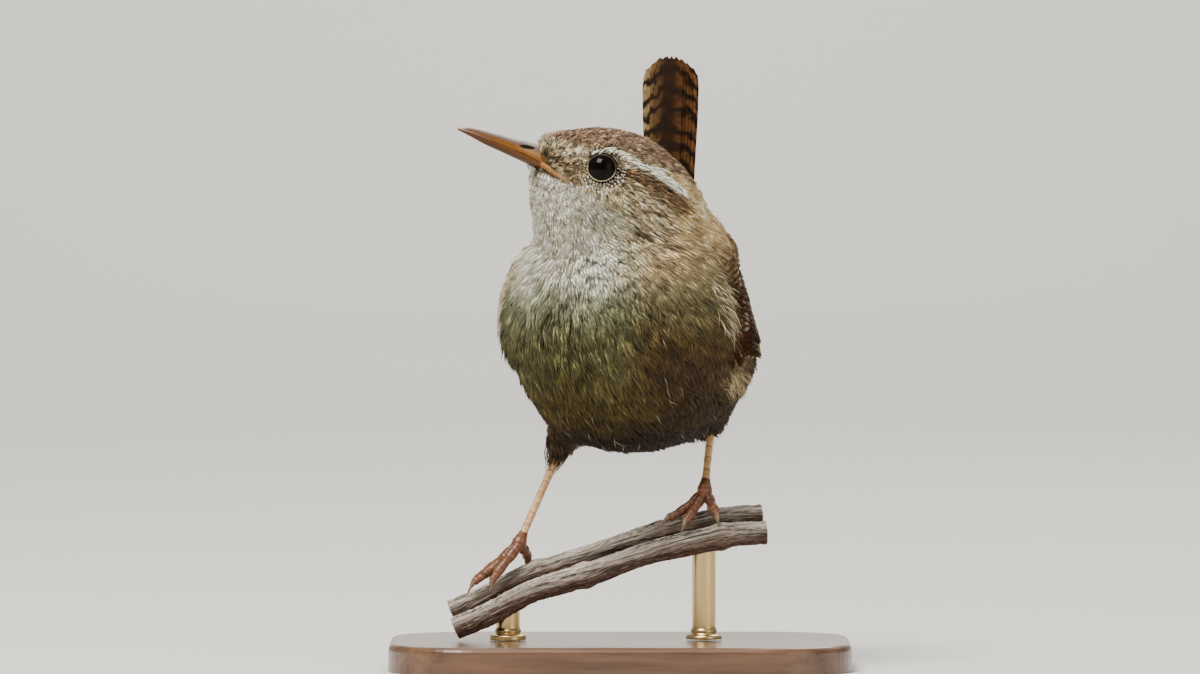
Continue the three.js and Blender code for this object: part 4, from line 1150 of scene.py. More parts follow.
# %% Where the legs and toes run
LEGS = {
    "right": (np.array([-14.4, -2, 18]), unit(np.array([5.3, 10.2, 11.8]))),
    "left": (np.array([12.1, -2, 25.6]), unit(np.array([1.5, 10, 12.8]))),
}
TOES = {
    "right": [
        [[-14.8, -2.3, 17.6], [-16.9, -2.9, 15.5], [-19.3, -3.1, 13.5], [-21, -3.2, 12.3],
         [-21.9, -3.6, 10.6]],
        [[-14.6, -2.6, 17.5], [-16.1, -3.6, 15.6], [-17.5, -4.4, 13.8], [-18.3, -4.9, 12.6],
         [-18.6, -5.5, 10.9]],
        [[-14.9, -1.9, 17.5], [-16.8, -1.3, 15.7], [-18.9, -0.6, 14], [-20.7, 0.2, 12.6],
         [-21.8, 0.9, 11]],
        [[-14.2, -1.6, 17.5], [-13.6, -0.7, 16.7], [-13.3, 0.7, 15.9], [-13.1, 1.5, 14.8],
         [-13.4, 1.9, 13.4]],
    ],
    "left": [
        [[11.8, -2.3, 25.1], [10.4, -2.9, 23.8], [8.5, -3.3, 22.4], [6.8, -3.5, 21.6],
         [5.4, -4, 19.9]],
        [[11.9, -2.5, 25], [11, -3.5, 23.5], [10, -4.6, 22], [9.2, -5.2, 21.1],
         [8.7, -5.8, 19.4]],
        [[12.4, -2.4, 25], [13, -3.3, 23.7], [13.5, -4.3, 22.7], [13.8, -4.9, 21.9],
         [14, -5.5, 20.4]],
        [[12.2, -1.6, 25], [12.6, -0.7, 24.4], [12.9, 0.8, 23.8], [13, 1.6, 22.6],
         [13, 2, 20.9]],
    ],
}
TARSUS = 16.5
TOE_UP = np.array([0.31, -0.8, 0.5])
SHIN_FRONT = np.array([0.1, -1, 0.3])
SHIN_RADII = [
    (0, 0.62), (0.06, 0.9), (0.14, 0.66), (0.3, 0.54), (0.8, 0.53), (0.9, 0.62), (0.97, 0.8), (1, 0.7)
]
JOINT_RADII = [(0, 0.5), (0.3, 0.76), (0.62, 1.05), (0.85, 1.0), (1, 0.7)]
TOE_RADII = [
    (0, 0.85), (0.2, 0.9), (0.3, 0.7), (0.42, 0.8), (0.55, 0.6), (0.7, 0.72), (0.82, 0.54), (0.95, 0.56),
    (1, 0.42),
]
print("heels at", [(base + rise * TARSUS).round(1).tolist() for base, rise in LEGS.values()])

# %% Tarsi, toes and claws
SCALED_SIDE = 0.25


def scaled_radius(table, scales, depth):
    """Radii along a leg or toe, stepped on the side that carries the scales."""
    places, radii = zip(*table)

    def radius(turn, at):
        phase = (at * scales) % 1
        step = (1 - phase) ** 1.5 - 0.4 * (phase > 0.93)
        facing = np.clip(np.cos((turn - SCALED_SIDE) * 2 * math.pi) + 0.35, 0, 1)
        return (np.interp(at, places, radii) + depth * step * facing) * closed_ends(at, 0.03, 0.03)

    return radius


def claw_radius(turn, at):
    return 0.42 * (1 - at) ** 0.8 * closed_ends(at, 0.04, 0.01) + 0.012 * (at < 0.99)


def shin(name, base, rise):
    heel = base + rise * TARSUS
    path = [heel + rise * 0.8, heel - rise * 5, heel - rise * 11, base - rise * 0.2]
    bm = mapped_bmesh()
    rolled(bm, 28, 150, tube_shape(path, scaled_radius(SHIN_RADII, 9, 0.07), SHIN_FRONT, 1.12))
    return piece_from("shin_" + name, bm)


def foot(name, base, rise):
    """The toes with the joint that they meet in, and their claws."""
    toe_bm, claw_bm = mapped_bmesh(), mapped_bmesh()
    joint = [base + rise * 2.2, base + rise, base - rise * 0.1, base - rise * 1.0]
    rolled(toe_bm, 30, 60, tube_shape(joint, scaled_radius(JOINT_RADII, 5, 0.09), SHIN_FRONT))
    for *toe, tip in np.array(TOES[name], float):
        path = np.array([base + 0.35 * (toe[0] - base), *toe])
        end, outward = path[-1], unit(tip - path[-1])
        rolled(toe_bm, 22, 90, tube_shape(path, scaled_radius(TOE_RADII, 11, 0.07), TOE_UP))
        knuckle, bend = end + outward * 0.5 + TOE_UP * 0.14, end + outward * 0.9 + TOE_UP * 0.25
        hook = np.array([end - outward * 0.35, knuckle, bend, tip])
        rolled(claw_bm, 16, 30, tube_shape(hook, claw_radius, TOE_UP, 1.35))
    return piece_from("toes_" + name, toe_bm), piece_from("claws_" + name, claw_bm)


shins, toes, claws = [], [], []
for name, (base, rise) in LEGS.items():
    shins.append(shin(name, base, rise))
    toe_piece, claw_piece = foot(name, base, rise)
    toes.append(toe_piece)
    claws.append(claw_piece)
print("faces", {piece.name: len(piece.data.polygons) for piece in shins + toes + claws})

# %% [markdown]
# ## Wing and tail feathers
# Flight feathers are stiff vanes with a shaft and a blade on both sides. Each is a grid laid on the
# wing, with a raised shaft line, rounded tip and blades that curve down a little at the edges. A
# Solidify modifier gives them thickness. Bars are drawn by the finish, from how far along the feather
# a point is.

# %% Vanes
ACROSS, ALONG = 10, 26
TIP_CROWDING = 1.35
VANE_THICK = 0.13
BAR_UNIT = 50


def vane_piece(name, vanes):
    """A piece of many vanes. Each gives its place and ground functions, and its length, phase and bars."""
    bm = bmesh.new()
    columns = math.ceil(math.sqrt(len(vanes) * 2))
    rows = math.ceil(len(vanes) / columns)
    layers, cells = {"Ground": [], "Bars": [], "Web": []}, []
    for number, vane in enumerate(vanes):
        grid = bmesh.ops.create_grid(bm, x_segments=ACROSS, y_segments=ALONG, size=1)["verts"]
        s, along = np.array([v.co[:2] for v in grid]).T
        t = 1 - (1 - (along + 1) / 2) ** TIP_CROWDING
        for vertex, point in zip(grid, vane["place"](t, s)):
            vertex.co = point
        bars = [vane["length"] * t / BAR_UNIT, 0 * t + vane["phase"], 0 * t + vane["bars"]]
        layers["Ground"].append(vane["ground"](t, s))
        layers["Bars"].append(np.stack(bars, -1))
        layers["Web"].append(np.stack([s / 2 + 0.5, np.abs(s), 0 * s], -1))
        row, column = divmod(number, columns)
        cell = [(column + 0.05 + 0.9 * (s + 1) / 2) / columns, (row + 0.05 + 0.9 * t) / rows]
        cells.append(np.stack(cell, -1))
    mesh = mesh_from(name, bm)
    for layer, values in layers.items():
        paint(mesh, layer, np.concatenate(values))
    map_corners(mesh, "OFBake", np.concatenate(cells)[vertex_of_corner(mesh)])
    piece = new_piece(name, mesh)
    solid = piece.modifiers.new("thickness", "SOLIDIFY")
    solid.thickness = VANE_THICK * MM
    solid.offset = 0
    print(name, len(vanes), "vanes", len(mesh.polygons), "faces")
    return piece


def blade(t):
    """Width along a vane, as a share of its widest."""
    return np.interp(t, [0, 0.2, 0.55, 0.9, 1], [0.5, 0.86, 1, 0.96, 0.8])


def shaft_ridge(s):
    return np.exp(-((s / 0.12) ** 2))


# %% [markdown]
# ## The folded wings
# A folded wing is rows of feathers laid like roof tiles: primaries and secondaries lowest, then coverts
# in ever shorter rows. Each row is one line of a table, with where its first and last feather start and
# end on the wing's own sheet, as the distance back and the turn round the body's long axis.

# %% Rows of wing feathers
RUFOUS = np.array([0.10, 0.040, 0.012])
DARK = np.array([0.012, 0.0052, 0.002])
NOTCH = np.array([0.34, 0.22, 0.10])
WHITE_TIP = np.array([0.66, 0.60, 0.50])
PLACES = ("row", "count", "roots", "tips", "bulge", "long", "width")
LAYERS = ("lifts", "tilt", "sunk", "bars", "notch", "spot")
WING_ROWS = [
    dict(zip(PLACES + LAYERS, place + layer))
    for place, layer in [
        (("primaries", 8, ([-3, -13], [-1, -2]), ([27, -10], [22, 8]), 3.2, 26, 3.0),
         ((0.4, 0.6), 0.22, 0.3, 1.0, 0.9, 0.0)),
        (("secondaries", 6, ([-2, -2], [-2, 20]), ([19.5, -4], [18, 18]), 0, 21, 4.0),
         ((0.5, 0.85), 0.22, 0.3, 0.9, 0.25, 0.0)),
        (("tertials", 3, ([-2, 22], [-3, 31]), ([18.5, 19], [13, 31]), 0, 18, 4.6),
         ((0.55, 0.9), 0.22, 0.3, 0.9, 0.15, 0.0)),
        (("primary coverts", 5, ([-8, -8], [-7, -1]), ([6, -12.5], [4.5, -5]), 0, 13, 2.0),
         ((0.4, 0.6), 0.2, 0.3, 0.7, 0.3, 0.1)),
        (("greater coverts", 9, ([-7, -2], [-6, 26]), ([4.5, -3], [5.5, 27]), 0, 11.5, 2.9),
         ((0.35, 0.7), 0.22, 0.3, 0.7, 0.1, 0.12)),
        (("median coverts", 8, ([-9, 0], [-8, 24]), ([-0.5, -2], [0, 27]), 0, 8, 3.0),
         ((0.25, 0.75), 0.2, 0.3, 0.45, 0, 0.45)),
        (("lesser coverts", 7, ([-10, 1], [-9.5, 22]), ([-4, -1], [-3.5, 26]), 0, 6, 3.0),
         ((0.1, 0.7), 0.2, 0.8, 0.2, 0, 0.1)),
        (("scapulars", 5, ([-7, 26], [-6, 40]), ([7.5, 31], [9, 41]), 0, 15, 3.6),
         ((0.2, 0.65), 0.15, 1.0, 0.5, 0, 0.1)),
    ]
]
print("feathers of a wing", sum(row["count"] for row in WING_ROWS))

# %% Wing feathers on the wing's sheet
def wing_axis(back):
    """The line inside the body from which the wing's sheet is measured."""
    return placed(BODY, np.stack([0 * back, back, 0 * back + WING_AXIS_UP], -1))


def on_wing(side, back, turn, lift):
    angle = np.radians(turn)
    aim = placed(BODY, np.stack([side * np.cos(angle), back, WING_AXIS_UP + np.sin(angle)], -1))
    return cast(wing_lobes, wing_axis(back), aim - wing_axis(back), lift, far=30.0)


def row_place(pair, u):
    first, last = np.array(pair, float)
    return first + (last - first) * u


def wing_vane(side, row, k, rng):
    u = k / (row["count"] - 1)
    root, tip = row_place(row["roots"], u), row_place(row["tips"], u)
    tip[0] += row["bulge"] * 4 * u * (1 - u)
    tip += rng.normal(0, 0.25, 2)
    low, high = row["lifts"]

    def place(t, s):
        back, turn = (root[:, None] + (tip - root)[:, None] * t)
        back = back - 0.34 * row["width"] * s**2 * smooth_step(t, 0.5, 1)
        lift = low + (high - low) * np.minimum(1, t * 1.6) - row["tilt"] * s
        lift = lift + 0.09 * shaft_ridge(s) - 0.10 * s**2
        reach = np.linalg.norm(on_wing(side, back, turn, lift) - wing_axis(back), axis=1)
        spread = np.degrees(s * (row["width"] * blade(t)) / 2 / reach)
        return on_wing(side, back, turn + spread, lift)

    tint = rng.normal(1, 0.07)

    def ground(t, s):
        colours = np.tile(RUFOUS * tint, (len(t), 1))
        colours = mixed(colours, DARK * 2.2, 0.55 * smooth_step(s, 0.1, 0.8) + 0.2 * smooth_step(t, 0.85, 1))
        colours = mixed(colours, NOTCH, row["notch"] * smooth_step(-s, 0.25, 0.7))
        return mixed(colours, WHITE_TIP, row["spot"] * 0.5 * near_spot((t, s), (0.96, 0), (0.05, 0.35)))

    phase, long, bars = rng.random(), row["long"], row["bars"]
    return {"place": place, "ground": ground, "length": long, "phase": phase, "bars": bars}


SIDES = ((1, "left"), (-1, "right"))
rng = np.random.default_rng(SEED)
wings = []
for side, name in SIDES:
    vanes = [wing_vane(side, row, k, rng) for row in WING_ROWS for k in range(row["count"])]
    wings.append(vane_piece("wing_feathers_" + name, vanes))

# %% [markdown]
# ## Feathers that cover the wing
# On the living bird the folded wing is tucked in. Feathers of the breast side lie over its front, small
# coverts cloud its shoulder, and longer ones lie in rows above the flight feathers. They are laid with
# the body's feather recipe, but on the surface of the wing.

# %% Shoulder colours, and the long coverts
BAR_EVERY, COVERT_BAR_EVERY = 2.1, 2.5
SHOULDER_TOP = (0.42, 0.275, 0.135)


def shoulder_colours(points):
    """Brown like the back at the top of the wing, rufous lower down."""
    fine = soft_noise(points, 1.6, 5)
    _, back, up = seen_from(BODY, points).T
    high = smooth_step(up + 0.8 * fine, 52.5, 58)
    bar = smooth_step(np.sin(2 * math.pi * (back + 0.35 * fine) / BAR_EVERY), 0.0, 0.7)
    colours = mixed(np.tile(RUFOUS, (len(points), 1)), SHOULDER_TOP, 0.9 * high)
    colours = faded(colours, DARK * 1.5, 0.5 * bar * (1 - 0.6 * high))
    return faded(colours, colours * 0.5, np.clip(0.5 + 0.5 * fine, 0, 1))


def covert_feathers(side, rng):
    """Root, tip, height, width, strength of bars, white spot and depth for each feather of the coverts."""
    ends, looks = [], []
    for row in WING_ROWS[3:]:
        for u in np.linspace(0, 1, row["count"] * 2 - 1):
            lift = row["lifts"][1] + 0.16 + 0.12 * rng.random()
            back, turn = np.array([row_place(row["roots"], u), row_place(row["tips"], u)]).T
            ends.append(on_wing(side, back, turn, np.full(2, lift)))
            spot = min(2 * row["spot"], 1) * (len(ends) % 3 == 0)
            looks.append((lift, row["width"] * 0.92, row["bars"], spot, row["sunk"]))
    return np.array(ends).swapaxes(0, 1), np.array(looks).T


def covert_coat(side, name, rng):
    """The long coverts, one feather recipe each, barred across and spotted white at the tip."""
    (root, tip), (above, wide, bars, spot, sunk) = covert_feathers(side, rng)
    bars, spot = bars[:, None], spot[:, None]
    long = np.linalg.norm(tip - root, axis=1) * 1.04
    phase = 0.14 * rng.random((len(root), 1)) + 0.3 * bars

    def pattern(hue, t):
        wave = np.sin(2 * math.pi * (t * long[:, None] / COVERT_BAR_EVERY + phase))
        bar = smooth_step(wave, -0.1, 0.5) * np.minimum(bars + 0.3, 1) * smooth_step(t, 0.3, 0.5)
        shown = shaded_at_root(hue, t)
        shown = shown + (DARK * 1.3 - shown) * bar[..., None]
        white = np.exp(-(((t - 1.0) / 0.08) ** 2)) * spot
        return shown + (WHITE_TIP - shown) * white[..., None]

    def towards_tip(points, out):
        span = tip - root
        return unit(span - out * np.sum(span * out, axis=1, keepdims=True))

    return feather_coat(
        "coverts_" + name, root, long, wide, 96, np.full(len(root), 0.24), sunk, np.full(len(root), 0.1),
        above=above[:, None], loose=0.35, lobes=wing_lobes, scruff=0.05, colours_at=shoulder_colours,
        pattern=pattern, way=towards_tip,
    )


print("shoulder colour", shoulder_colours(placed(BODY, [[14, -6, 57]])).round(2))

# %% Breast side, mantle side and shoulder
SHOULDER_LIFT = [(-11, 0.1, 0.7), (-6, 0.6, 0.95), (0, 0.8, 1.0)]
MANTLE_LIFT = [(-13, -0.4, 0.1), (-8, 0.1, 0.55), (-5, 0.3, 0.95), (4, 0.6, 1.05)]
BREAST_LIFT = [(-15.5, -0.9, 0.1), (-12, -0.3, 0.9), (-8, 0.7, 1.3)]
WING_COVERS = {
    "shoulder": (290, (-11, -14), (-1, 27), SHOULDER_LIFT, 3.4, 1.1),
    "mantle_side": (330, (-13, 22), (4, 72), MANTLE_LIFT, 4.2, 1.5),
    "breast_side": (420, (-15.5, -22), (-8, 62), BREAST_LIFT, 4.6, 1.7),
}
EVEN_STEPS = np.array([0.7548777, 0.5698403])


def even_places(count, low, high):
    """Places spread evenly over a box."""
    k = np.arange(1, count + 1)[:, None]
    return np.array(low) + (0.5 + k * EVEN_STEPS) % 1 * (np.array(high) - np.array(low))


def wing_cover(name, side, count, low, high, lift, length, width, **look):
    """A coat over part of the wing. lift lists [back, height of roots, height of tips]."""
    back, turn = even_places(count, low, high).T
    root = on_wing(side, back, turn, np.zeros(count))
    backs, root_lifts, tip_lifts = zip(*lift)
    tucked = smooth_step(turn, -18, 2)
    root_lift = np.interp(back, backs, root_lifts)
    depth = -root_lift * np.where(root_lift > 0, tucked, 1)
    length, width, thick = (np.full(count, float(value)) for value in (length, width, 0.2))
    tip_lift = np.interp(back, backs, tip_lifts) * tucked
    return feather_coat(name, root, length, width, 24, thick, depth, tip_lift, lobes=wing_lobes, **look)


covers = []
for side, name in SIDES:
    covers.append(covert_coat(side, name, rng))
    for part, values in WING_COVERS.items():
        shades, scruff = (shoulder_colours, 0.04) if part == "shoulder" else (markings, 0.12)
        look = {"streak": 0.38, "shaft": 1.4, "scruff": scruff, "colours_at": shades}
        covers.append(wing_cover(part + "_" + name, side, *values, **look))

# %% [markdown]
# ## Loose hairs
# A living coat isn't combed. Thin pale hairs stand out of it here and there, crisp ones draw the brow,
# bristles stand round the bill, and more close the chin, the flank and the top of each bare leg. They
# are the coat's closed slivers again, each laid in its own way.

# %% Hairs that stand out of the coat
def stray_hairs(name, rng, root, length, thick, lifts, colour, lobes=None, varied=0.2):
    """Thin single barbs that stand a little out of the coat."""
    n = len(root)
    _, out = field(lobes or plumage_lobes, root)
    flow = unit(lie(root, out) + rng.normal(0, 0.22, (n, 3)))
    shades = np.tile(colour, (n, 1)) * np.exp(rng.normal(0, varied, (n, 1)))
    long = length * rng.uniform(0.7, 1.25, n)
    sideways = rng.normal(0, 0.12, n)
    return loose_barbs(name, root, flow, long, np.full(n, thick), lifts, shades, lobes, sideways)


STRAY, EDGE_HAIRS = 330, 64
STRAY_COLOUR, EDGE_COLOUR = (0.46, 0.39, 0.26), (0.62, 0.52, 0.36)
body_hairs = roots[rng.permutation(len(roots))[:STRAY]]
body_hairs = body_hairs[np.linalg.norm(body_hairs - BILL_ROOT, axis=1) > 9]
covers.append(stray_hairs("stray_hairs", rng, body_hairs, 3.2, 0.09, (-0.2, 0.22, 0.4), STRAY_COLOUR))
for side, name in SIDES:
    back, turn = even_places(EDGE_HAIRS, (-10, -1), (-7, 26)).T
    edge = on_wing(side, back, turn, np.zeros(EDGE_HAIRS))
    lifts = (0.7, 1.4, 1.6)
    covers.append(stray_hairs("edge_hairs_" + name, rng, edge, 3.4, 0.12, lifts, EDGE_COLOUR, wing_lobes))
print("stray hairs", len(body_hairs), "and", 2 * EDGE_HAIRS, "at the wings' front edges")

# %% Brow, bristles, chin and flank
def brow_hairs(name, side, rng, count=210):
    """Crisp pale barbs along the brow stripe, the first of them close over the eye."""
    paths = [np.array(path) for path in BROWS]
    along = [smooth_through(path, rng.random(count // 2)) for path in paths]
    y, z, half = np.concatenate(along).T
    z = z + half * rng.uniform(-1, 1, len(z))
    start = np.stack([0 * y, y, z], -1)
    ray = np.tile(HEAD[0] @ np.array([side, 0, 0.0]), (len(y), 1))
    root = cast(plumage_lobes, placed(HEAD, start), ray, far=9.0)
    _, out = field(plumage_lobes, root)
    flow = lie(root, out) + HEAD[0] @ np.array([0, 0.9, 0.0]) + rng.normal(0, 0.12, root.shape)
    long = np.interp(y, [-4, 0, 5], [0.9, 1.5, 2.1]) * rng.uniform(0.7, 1.25, len(y))
    shades = mixed(markings(root), CREAM, 1 - 0.9 * smooth_step(y, 6.5, 9.5))
    shades = shades * np.exp(rng.normal(-0.12, 0.25, (len(y), 1)))
    return loose_barbs(name, root, flow, long, np.full(len(y), 0.17), (0.02, 0.24, 0.16), shades)


covers += [brow_hairs("brow_hairs_" + name, side, rng) for side, name in SIDES]
around_bill = roots[np.linalg.norm(roots - placed(HEAD, [0, -9, 0.5]), axis=1) < 3.6]
covers.append(stray_hairs("bristles", rng, around_bill[::3], 1.5, 0.07, (0.0, 0.3, 0.5), (0.06, 0.045, 0.03)))


CHIN_COLOUR, TUFT_COLOUR = (0.75, 0.70, 0.55), (0.56, 0.43, 0.25)


def chin_hairs(rng, count=150):
    """Pale barbs that start under the root of the lower bill and hang down and back over the chin."""
    ahead = rng.uniform(8.4, 12.2, count)
    keel = np.interp(ahead, BILL_AHEAD, KEEL)
    x = rng.uniform(-1, 1, count) * np.interp(ahead, [8.4, 12.2], [1.9, 0.8])
    first = np.stack([x, -ahead, keel + 0.1 + 0.1 * np.abs(x)], -1)
    long = rng.uniform(1.0, 2.0, count)[:, None]
    hang = [x * 0.2, rng.uniform(0.5, 1.0, count), rng.uniform(-0.9, -0.45, count)]
    last = first + long * unit(np.stack(hang, -1))
    mid = first + 0.45 * (last - first) + long * np.array([0, -0.06, -0.04])
    shades = np.tile(CHIN_COLOUR, (count, 1)) * np.exp(rng.normal(-0.15, 0.3, (count, 1)))
    out = np.tile(HEAD[0] @ np.array([0, -0.6, -0.8]), (count, 1))
    stations = [placed(HEAD, place) for place in (first, mid, last)]
    return barbs_through("chin_hairs", stations, out, np.full(count, 0.13), shades)


def flank_tuft(rng):
    """Longer hairs that spill over the front edge of the left wing."""
    x, y, z = seen_from(BODY, roots).T
    tufted = near_spot((x, z), (16.2, 41.4), (2.0, 1.8)) * (y > -4) * (y < 4.5) > 0.4
    root = np.repeat(roots[tufted], 2, axis=0)
    root = root + rng.normal(0, 0.3, root.shape)
    return stray_hairs("flank_tuft", rng, root, 3.6, 0.11, (-0.4, 0.35, 1.1), TUFT_COLOUR, varied=0.4)


covers += [chin_hairs(rng), flank_tuft(rng)]
print("brow, bristles, chin and tuft", [len(piece.data.polygons) for piece in covers[-5:]])

# %% Cuffs round the bare legs
def leg_cuff(name, rng, count=190):
    """Barbs that close the thigh's coat round the bare leg."""
    base, rise = LEGS[name]
    heel = base + rise * TARSUS
    thigh = unit(np.array(THIGHS[name][0]) - np.array(THIGHS[name][1]))
    across = unit(np.cross(thigh, [0, 1.0, 0]))
    ahead = np.cross(across, thigh)
    angle = rng.uniform(0, 2 * math.pi, count)
    around = np.cos(angle)[:, None] * across + np.sin(angle)[:, None] * ahead
    above = rng.uniform(0.4, 3.2, count)
    girth = 2.1 * np.sqrt(1 - (1 - above / 4) ** 2)
    first = heel + thigh * above[:, None] + around * (girth - 0.1)[:, None]
    last = heel + rise * (0.9 - 4.2 * rng.random(count) ** 2.2)[:, None] + around * 0.7
    mid = 0.5 * (first + last) + around * 0.12 * above[:, None] + rng.normal(0, 0.06, (count, 3))
    shades = markings(first) * np.exp(rng.normal(0, 0.3, (count, 1)))
    return barbs_through("leg_cuff_" + name, (first, mid, last), around, np.full(count, 0.2), shades)


covers += [leg_cuff(name, rng) for name in LEGS]
print("loose hairs", sum(len(piece.data.polygons) for piece in covers[-8:]), "triangles")

# %% [markdown]
# ## The cocked tail
# Twelve tail feathers lie nearly on top of each other when the tail is closed. The middle pair lies on
# the side that faces the head. Short coverts wrap the root, above and below.

# %% Tail feathers
TAIL_LENGTH = 36.9
TAIL_SHORT_BY = [0.1, 0, 0.1, 0.4, 0.8, 1.3]
TAIL_ROOF = 0.035
TAIL_NOTCH = {1: (0.14, 0.06, 0.018), -1: (0.27, 0.19, 0.085)}


def frayed(s, number):
    """How far the worn tip of a vane stands back at each place across it."""
    return 0.35 * np.abs(np.sin(5.3 * s + 2.1 * number)) + 0.25 * np.abs(np.sin(12.7 * s + number))


def tail_vane(side, pair, rng):
    layer = 0.6 - 0.25 * pair - (0.1 if side > 0 else 0)
    from_x, to_x = 0.3 + (0.34 if side > 0 else 0.1) * pair, 0.35 + 0.42 * pair
    wobble = rng.normal(0, 0.12)

    def place(t, s):
        width = 3.8 * np.interp(t, [0, 0.3, 0.8, 0.95, 1], [0.55, 0.85, 1, 0.98, 0.86])
        x = side * (from_x + (to_x - from_x) * t) + s * width / 2 + wobble * t
        up = (TAIL_LENGTH - TAIL_SHORT_BY[pair]) * t - 1.1 * s**2 * smooth_step(t, 0.6, 1)
        up = up - frayed(s, pair) * smooth_step(t, 0.8, 1)
        out = layer - TAIL_ROOF * x**2 + 0.12 * s * side + 0.08 * shaft_ridge(s)
        return placed(TAIL, np.stack([x, -out, up], -1))

    tint = rng.normal(1, 0.06)
    outer = pair / 5

    def ground(t, s):
        edge = smooth_step(s * side, 0.1, 0.75)
        colours = np.tile(np.array([0.022, 0.008, 0.0016]) * tint, (len(t), 1))
        colours = mixed(colours, [0.062, 0.023, 0.006], 0.8 * edge)
        return mixed(colours, TAIL_NOTCH[side], edge * (0.1 + 0.9 * outer))

    phase = 0.03 * pair + rng.normal(0, 0.05)
    return {"place": place, "ground": ground, "length": TAIL_LENGTH, "phase": phase, "bars": 1.0}


TAIL_COVERTS = [
    {"face": 1, "count": 6, "spread": 1.05, "reach": 12.5, "layer": 0.95, "width": 3.1},
    {"face": -1, "count": 6, "spread": 1.1, "reach": 15.5, "layer": -1.35, "width": 3.4},
]


def tail_covert(row, k, rng):
    offset = k - (row["count"] - 1) / 2
    face = row["face"]

    def place(t, s):
        width = row["width"] * blade(t)
        x = offset * row["spread"] * (0.75 + 0.25 * t) + s * width / 2
        up = (row["reach"] - 0.8 * abs(offset)) * t - 0.9 * s**2 * smooth_step(t, 0.5, 1)
        out = row["layer"] + face * 0.1 * (k % 2) - face * TAIL_ROOF * 1.4 * x**2 - 0.3 * face * t**2
        return placed(TAIL, np.stack([x, -out, up], -1))

    def ground(t, s):
        colours = np.tile([0.12, 0.055, 0.022] if face > 0 else [0.17, 0.10, 0.05], (len(t), 1))
        return mixed(colours, WHITE_TIP, 0.4 * np.exp(-(((t - 0.95) / 0.06) ** 2)) * (face < 0))

    return {"place": place, "ground": ground, "length": row["reach"], "phase": rng.random(), "bars": 0.7}


tail_vanes = [tail_vane(side, pair, rng) for pair in range(5, -1, -1) for side in (1, -1)]
tail_vanes += [tail_covert(row, k, rng) for row in TAIL_COVERTS for k in range(row["count"])]
tail = vane_piece("tail_feathers", tail_vanes)

# %% [markdown]
# ## The stems
# The perch is two lengths of dry vine, side by side. Old vine bark splits into long fibres, so the
# rolled grid gets ridges that wander slowly round the stem, and a swelling at each knot.

# %% Stems
BACK_STEM_TOP = [
    [-24.3, 9.5], [-19.2, 11.7], [-13.4, 14.8], [-9.2, 16.1], [-4.3, 17.6], [1.2, 19.6], [5.7, 20.9],
    [14.5, 22.9], [20.5, 23.4],
]


def slid(value, start, end, first, last):
    """The place at value on the line that goes from first at start to last at end."""
    return (end - value) / (end - start) * first + (value - start) / (end - start) * last


def centripetal(points, count):
    """Even samples of a smooth path through uneven points."""
    points = np.asarray(points, float)
    gaps = np.sqrt(np.linalg.norm(np.diff(points, axis=0), axis=1))
    knots = np.concatenate([[0], np.cumsum(gaps)])
    ends = np.vstack([2 * points[0] - points[1], points, 2 * points[-1] - points[-2]])
    edge = np.concatenate([[knots[0] - gaps[0]], knots, [knots[-1] + gaps[-1]]])
    at = np.linspace(knots[0], knots[-1], count)
    made = []
    for value in at:
        i = min(max(int(np.searchsorted(knots, value, side="right")) - 1, 0), len(points) - 2)
        p, k = ends[i : i + 4], edge[i : i + 4]
        a = [slid(value, k[j], k[j + 1], p[j], p[j + 1]) for j in range(3)]
        b = [slid(value, k[j], k[j + 2], a[j], a[j + 1]) for j in range(2)]
        made.append(slid(value, k[1], k[2], b[0], b[1]))
    return np.array(made)


BACK_STEM = [[x, -1, z - 1.4] for x, z in BACK_STEM_TOP]
FRONT_STEM = [[x + 0.6, -3.7 - 0.3 * math.sin(i), z - 3.8] for i, (x, z) in enumerate(BACK_STEM_TOP)]
STEMS = {
    "perch_back": (BACK_STEM, 1.4, [0.3, 0.72], 3),
    "perch_front": (FRONT_STEM, 1.6, [0.45, 0.86], 5),
}


def bark_radius(radius, knots, seed):
    """The radius of a stem that swells at its knots, with long fibres in its bark."""

    def grown(turn, at):
        knot = sum(np.exp(-(((at - k) / 0.02) ** 2)) for k in knots)
        angle = turn * 2 * math.pi + 0.9 * np.sin(at * 5 + seed)
        spots = np.stack([np.cos(angle) * 2.3, np.sin(angle) * 2.3, at * 3], -1)
        long_fibre = soft_noise(spots, 0.5, seed)
        fine_fibre = soft_noise(spots * [1, 1, 1.4], 0.15, seed + 1)
        ridges = 0.10 * long_fibre - 0.22 * np.abs(fine_fibre) + 0.07
        thick = radius * (1 + 0.04 * np.sin(at * 17)) + 0.3 * knot
        return (thick + ridges) * closed_ends(at, 0.006, 0.006)

    return grown


stems = []
for name, (points, radius, knots, seed) in STEMS.items():
    bm = mapped_bmesh()
    stem = tube_shape(centripetal(points, 60), bark_radius(radius, knots, seed), np.array([0, 0, 1.0]))
    rolled(bm, 96, 240, lambda turn, at, stem=stem: stem(turn - 0.25, at))
    stems.append(piece_from(name + "_bark", bm))
print("stems", [len(p.data.polygons) for p in stems])

# %% [markdown]
# ## The stand
# The wren is shown on a plain display stand: a round-cornered hardwood base, with two brass rods that
# carry the stems. The base is a cube with its four upright corners rounded and its edges eased.

# %% Base and rods
BASE = (66, 44, 4)
RODS = {"left": (-16, -2.2, 10.8), "right": (12, -2.2, 19.8)}


